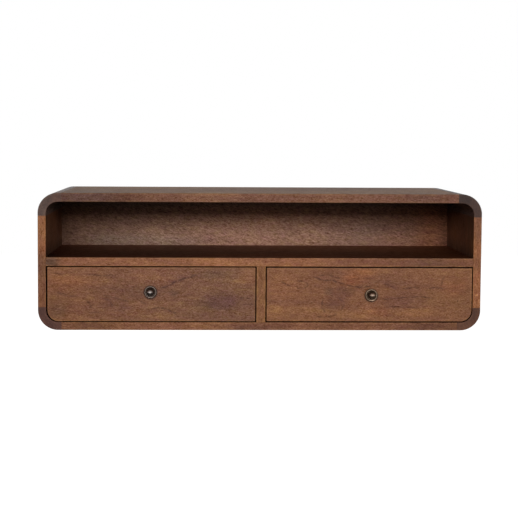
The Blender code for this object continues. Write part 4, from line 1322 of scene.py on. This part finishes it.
knobPlan = {
    "rosetteRadius": 0.0139,
    "rimHeight": 0.0046,
    "rimWidth": 0.0039,
    "dishFloor": 0.0016,
    "ballRadius": 0.0070,
    "neckRadius": 0.0034,
    "footRadius": 0.0050,
    "neckLength": 0.0090,
    "off": 0.0003,             # what parts the rosette from the drawer, and the foot from its dish
    # The rosette's rear edge: how far in from its radius and out from the drawer, and the wear there
    "rearEdge": ((0.0004, 0.0003, 0.1), (0.0001, 0.0006, 0.2), (0.0, 0.0011, 0.2)),
    "rubbedRim": (0.28, 0.40, 0.12),    # share of the rim before rubbing starts and till it is full, least wear
    "dishWear": 0.45,
    "ballWear": 0.25,          # the least of it
    "rimSteps": 12,
    "dishSteps": 10,
    "neckSteps": 6,
    "ballSteps": 32,
    "turns": 96,
}
# Upward tilts between which the rosettes go from painted shade to painted light; the dark color is patina in
# the hollows and painted shade below
rosetteTopLight = (-0.50, 0.55)
knobLooks = {
    "left_knob": {"seed": 5, "bright": (0.300, 0.262, 0.240), "patinaAndShade": (0.010, 0.007, 0.006)},
    "right_knob": {"seed": 9, "bright": (0.350, 0.255, 0.195), "patinaAndShade": (0.020, 0.012, 0.007)},
    "left_rosette": {
        "seed": 6, "bright": (0.380, 0.295, 0.250), "patinaAndShade": (0.018, 0.010, 0.007),
        "paintedTopLight": rosetteTopLight,
    },
    "right_rosette": {
        "seed": 8, "bright": (0.520, 0.365, 0.255), "patinaAndShade": (0.024, 0.013, 0.007),
        "paintedTopLight": rosetteTopLight,
    },
}


def turnedMesh(name, profile, centerX, frontY, centerZ, material):
    # profile: radius, distance out from the drawer's face, wear; the ends lie on the axis
    turns = knobPlan["turns"]
    rings = []
    for radius, out, wear in profile:
        ring = arc(centerX, centerZ, radius, 0.0, 2 * math.pi, turns)[:turns if radius > 0 else 1]
        rings.append(([(x, frontY - out, z) for x, z in ring], wear))
    return finishMesh(name, loft(rings), material, edgeWork["turnedAngle"])


def rosetteProfile():
    plan = knobPlan
    edge, off, floor, foot = plan["rosetteRadius"], plan["off"], plan["dishFloor"], plan["footRadius"] * 0.8
    rim = plan["rimWidth"] / 2
    crest = plan["rimHeight"] - rim
    profile = [(0.0, off, 0.0), *[(edge - inset, out, wear) for inset, out, wear in plan["rearEdge"]]]
    start, length, least = plan["rubbedRim"]
    steps = plan["rimSteps"]
    for step in range(steps + 1):
        angle = math.pi * step / steps
        share = min(1.0, max(0.0, (step / steps - start) / length))
        wear = least + (1 - least) * share * share * (3 - 2 * share)
        profile.append((edge - rim + rim * math.cos(angle), crest + rim * math.sin(angle), wear))
    for step in range(plan["dishSteps"]):
        share = 1 - (step + 1) / plan["dishSteps"]
        radius = foot + (edge - 2 * rim - foot) * share
        profile.append((radius, floor + (crest - floor) * share * share, plan["dishWear"] * share ** 4))
    return [*profile, (0.0, floor, 0.0)]


def knobProfile():
    plan = knobPlan
    start, foot = plan["dishFloor"] + plan["off"], plan["footRadius"]
    neck, ball = plan["neckRadius"], plan["ballRadius"]
    meet = math.asin(neck / ball)
    middle = start + plan["neckLength"] + ball * math.cos(meet)
    flange = plan["neckLength"] / 4
    profile = [(0.0, start, 0.0), (foot, start, 0.05), (foot, start + flange * 0.8, 0.2)]
    for step in range(plan["neckSteps"]):
        share = (step + 1) / plan["neckSteps"]
        curve = 0.5 - 0.5 * math.cos(math.pi * share)
        profile.append((foot + (neck - foot) * curve, start + flange * (0.8 + 1.2 * share), 0.12))
    least, steps = plan["ballWear"], plan["ballSteps"]
    for step in range(steps + 1):
        angle = meet + (math.pi - meet) * step / steps
        radius = ball * math.sin(angle) if step < steps else 0.0
        wear = least + (1 - least) * max(0.0, -math.cos(angle)) ** 0.5
        profile.append((radius, middle - ball * math.cos(angle), wear))
    return profile


def makeKnob(side):
    low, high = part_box(side + "_knob_rosette")
    centerX, centerZ = (low.x + high.x) / 2, (low.z + high.z) / 2
    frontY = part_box(side + "_drawer_front")[0].y
    nodes = {"rosette": "knob_rosette", "knob": "knob"}
    for kind, profile in (("rosette", rosetteProfile), ("knob", knobProfile)):
        name = side + "_" + kind
        node = side + "_" + nodes[kind]
        brass = brassMaterial(name + "_brass", **knobLooks[name])
        turned = turnedMesh(name + "_turned", profile(), centerX, frontY, centerZ, brass)
        assign(turned, side + "_drawer", "antique_brass", node)


makeKnob("left")
makeKnob("right")
print("knobs turned")
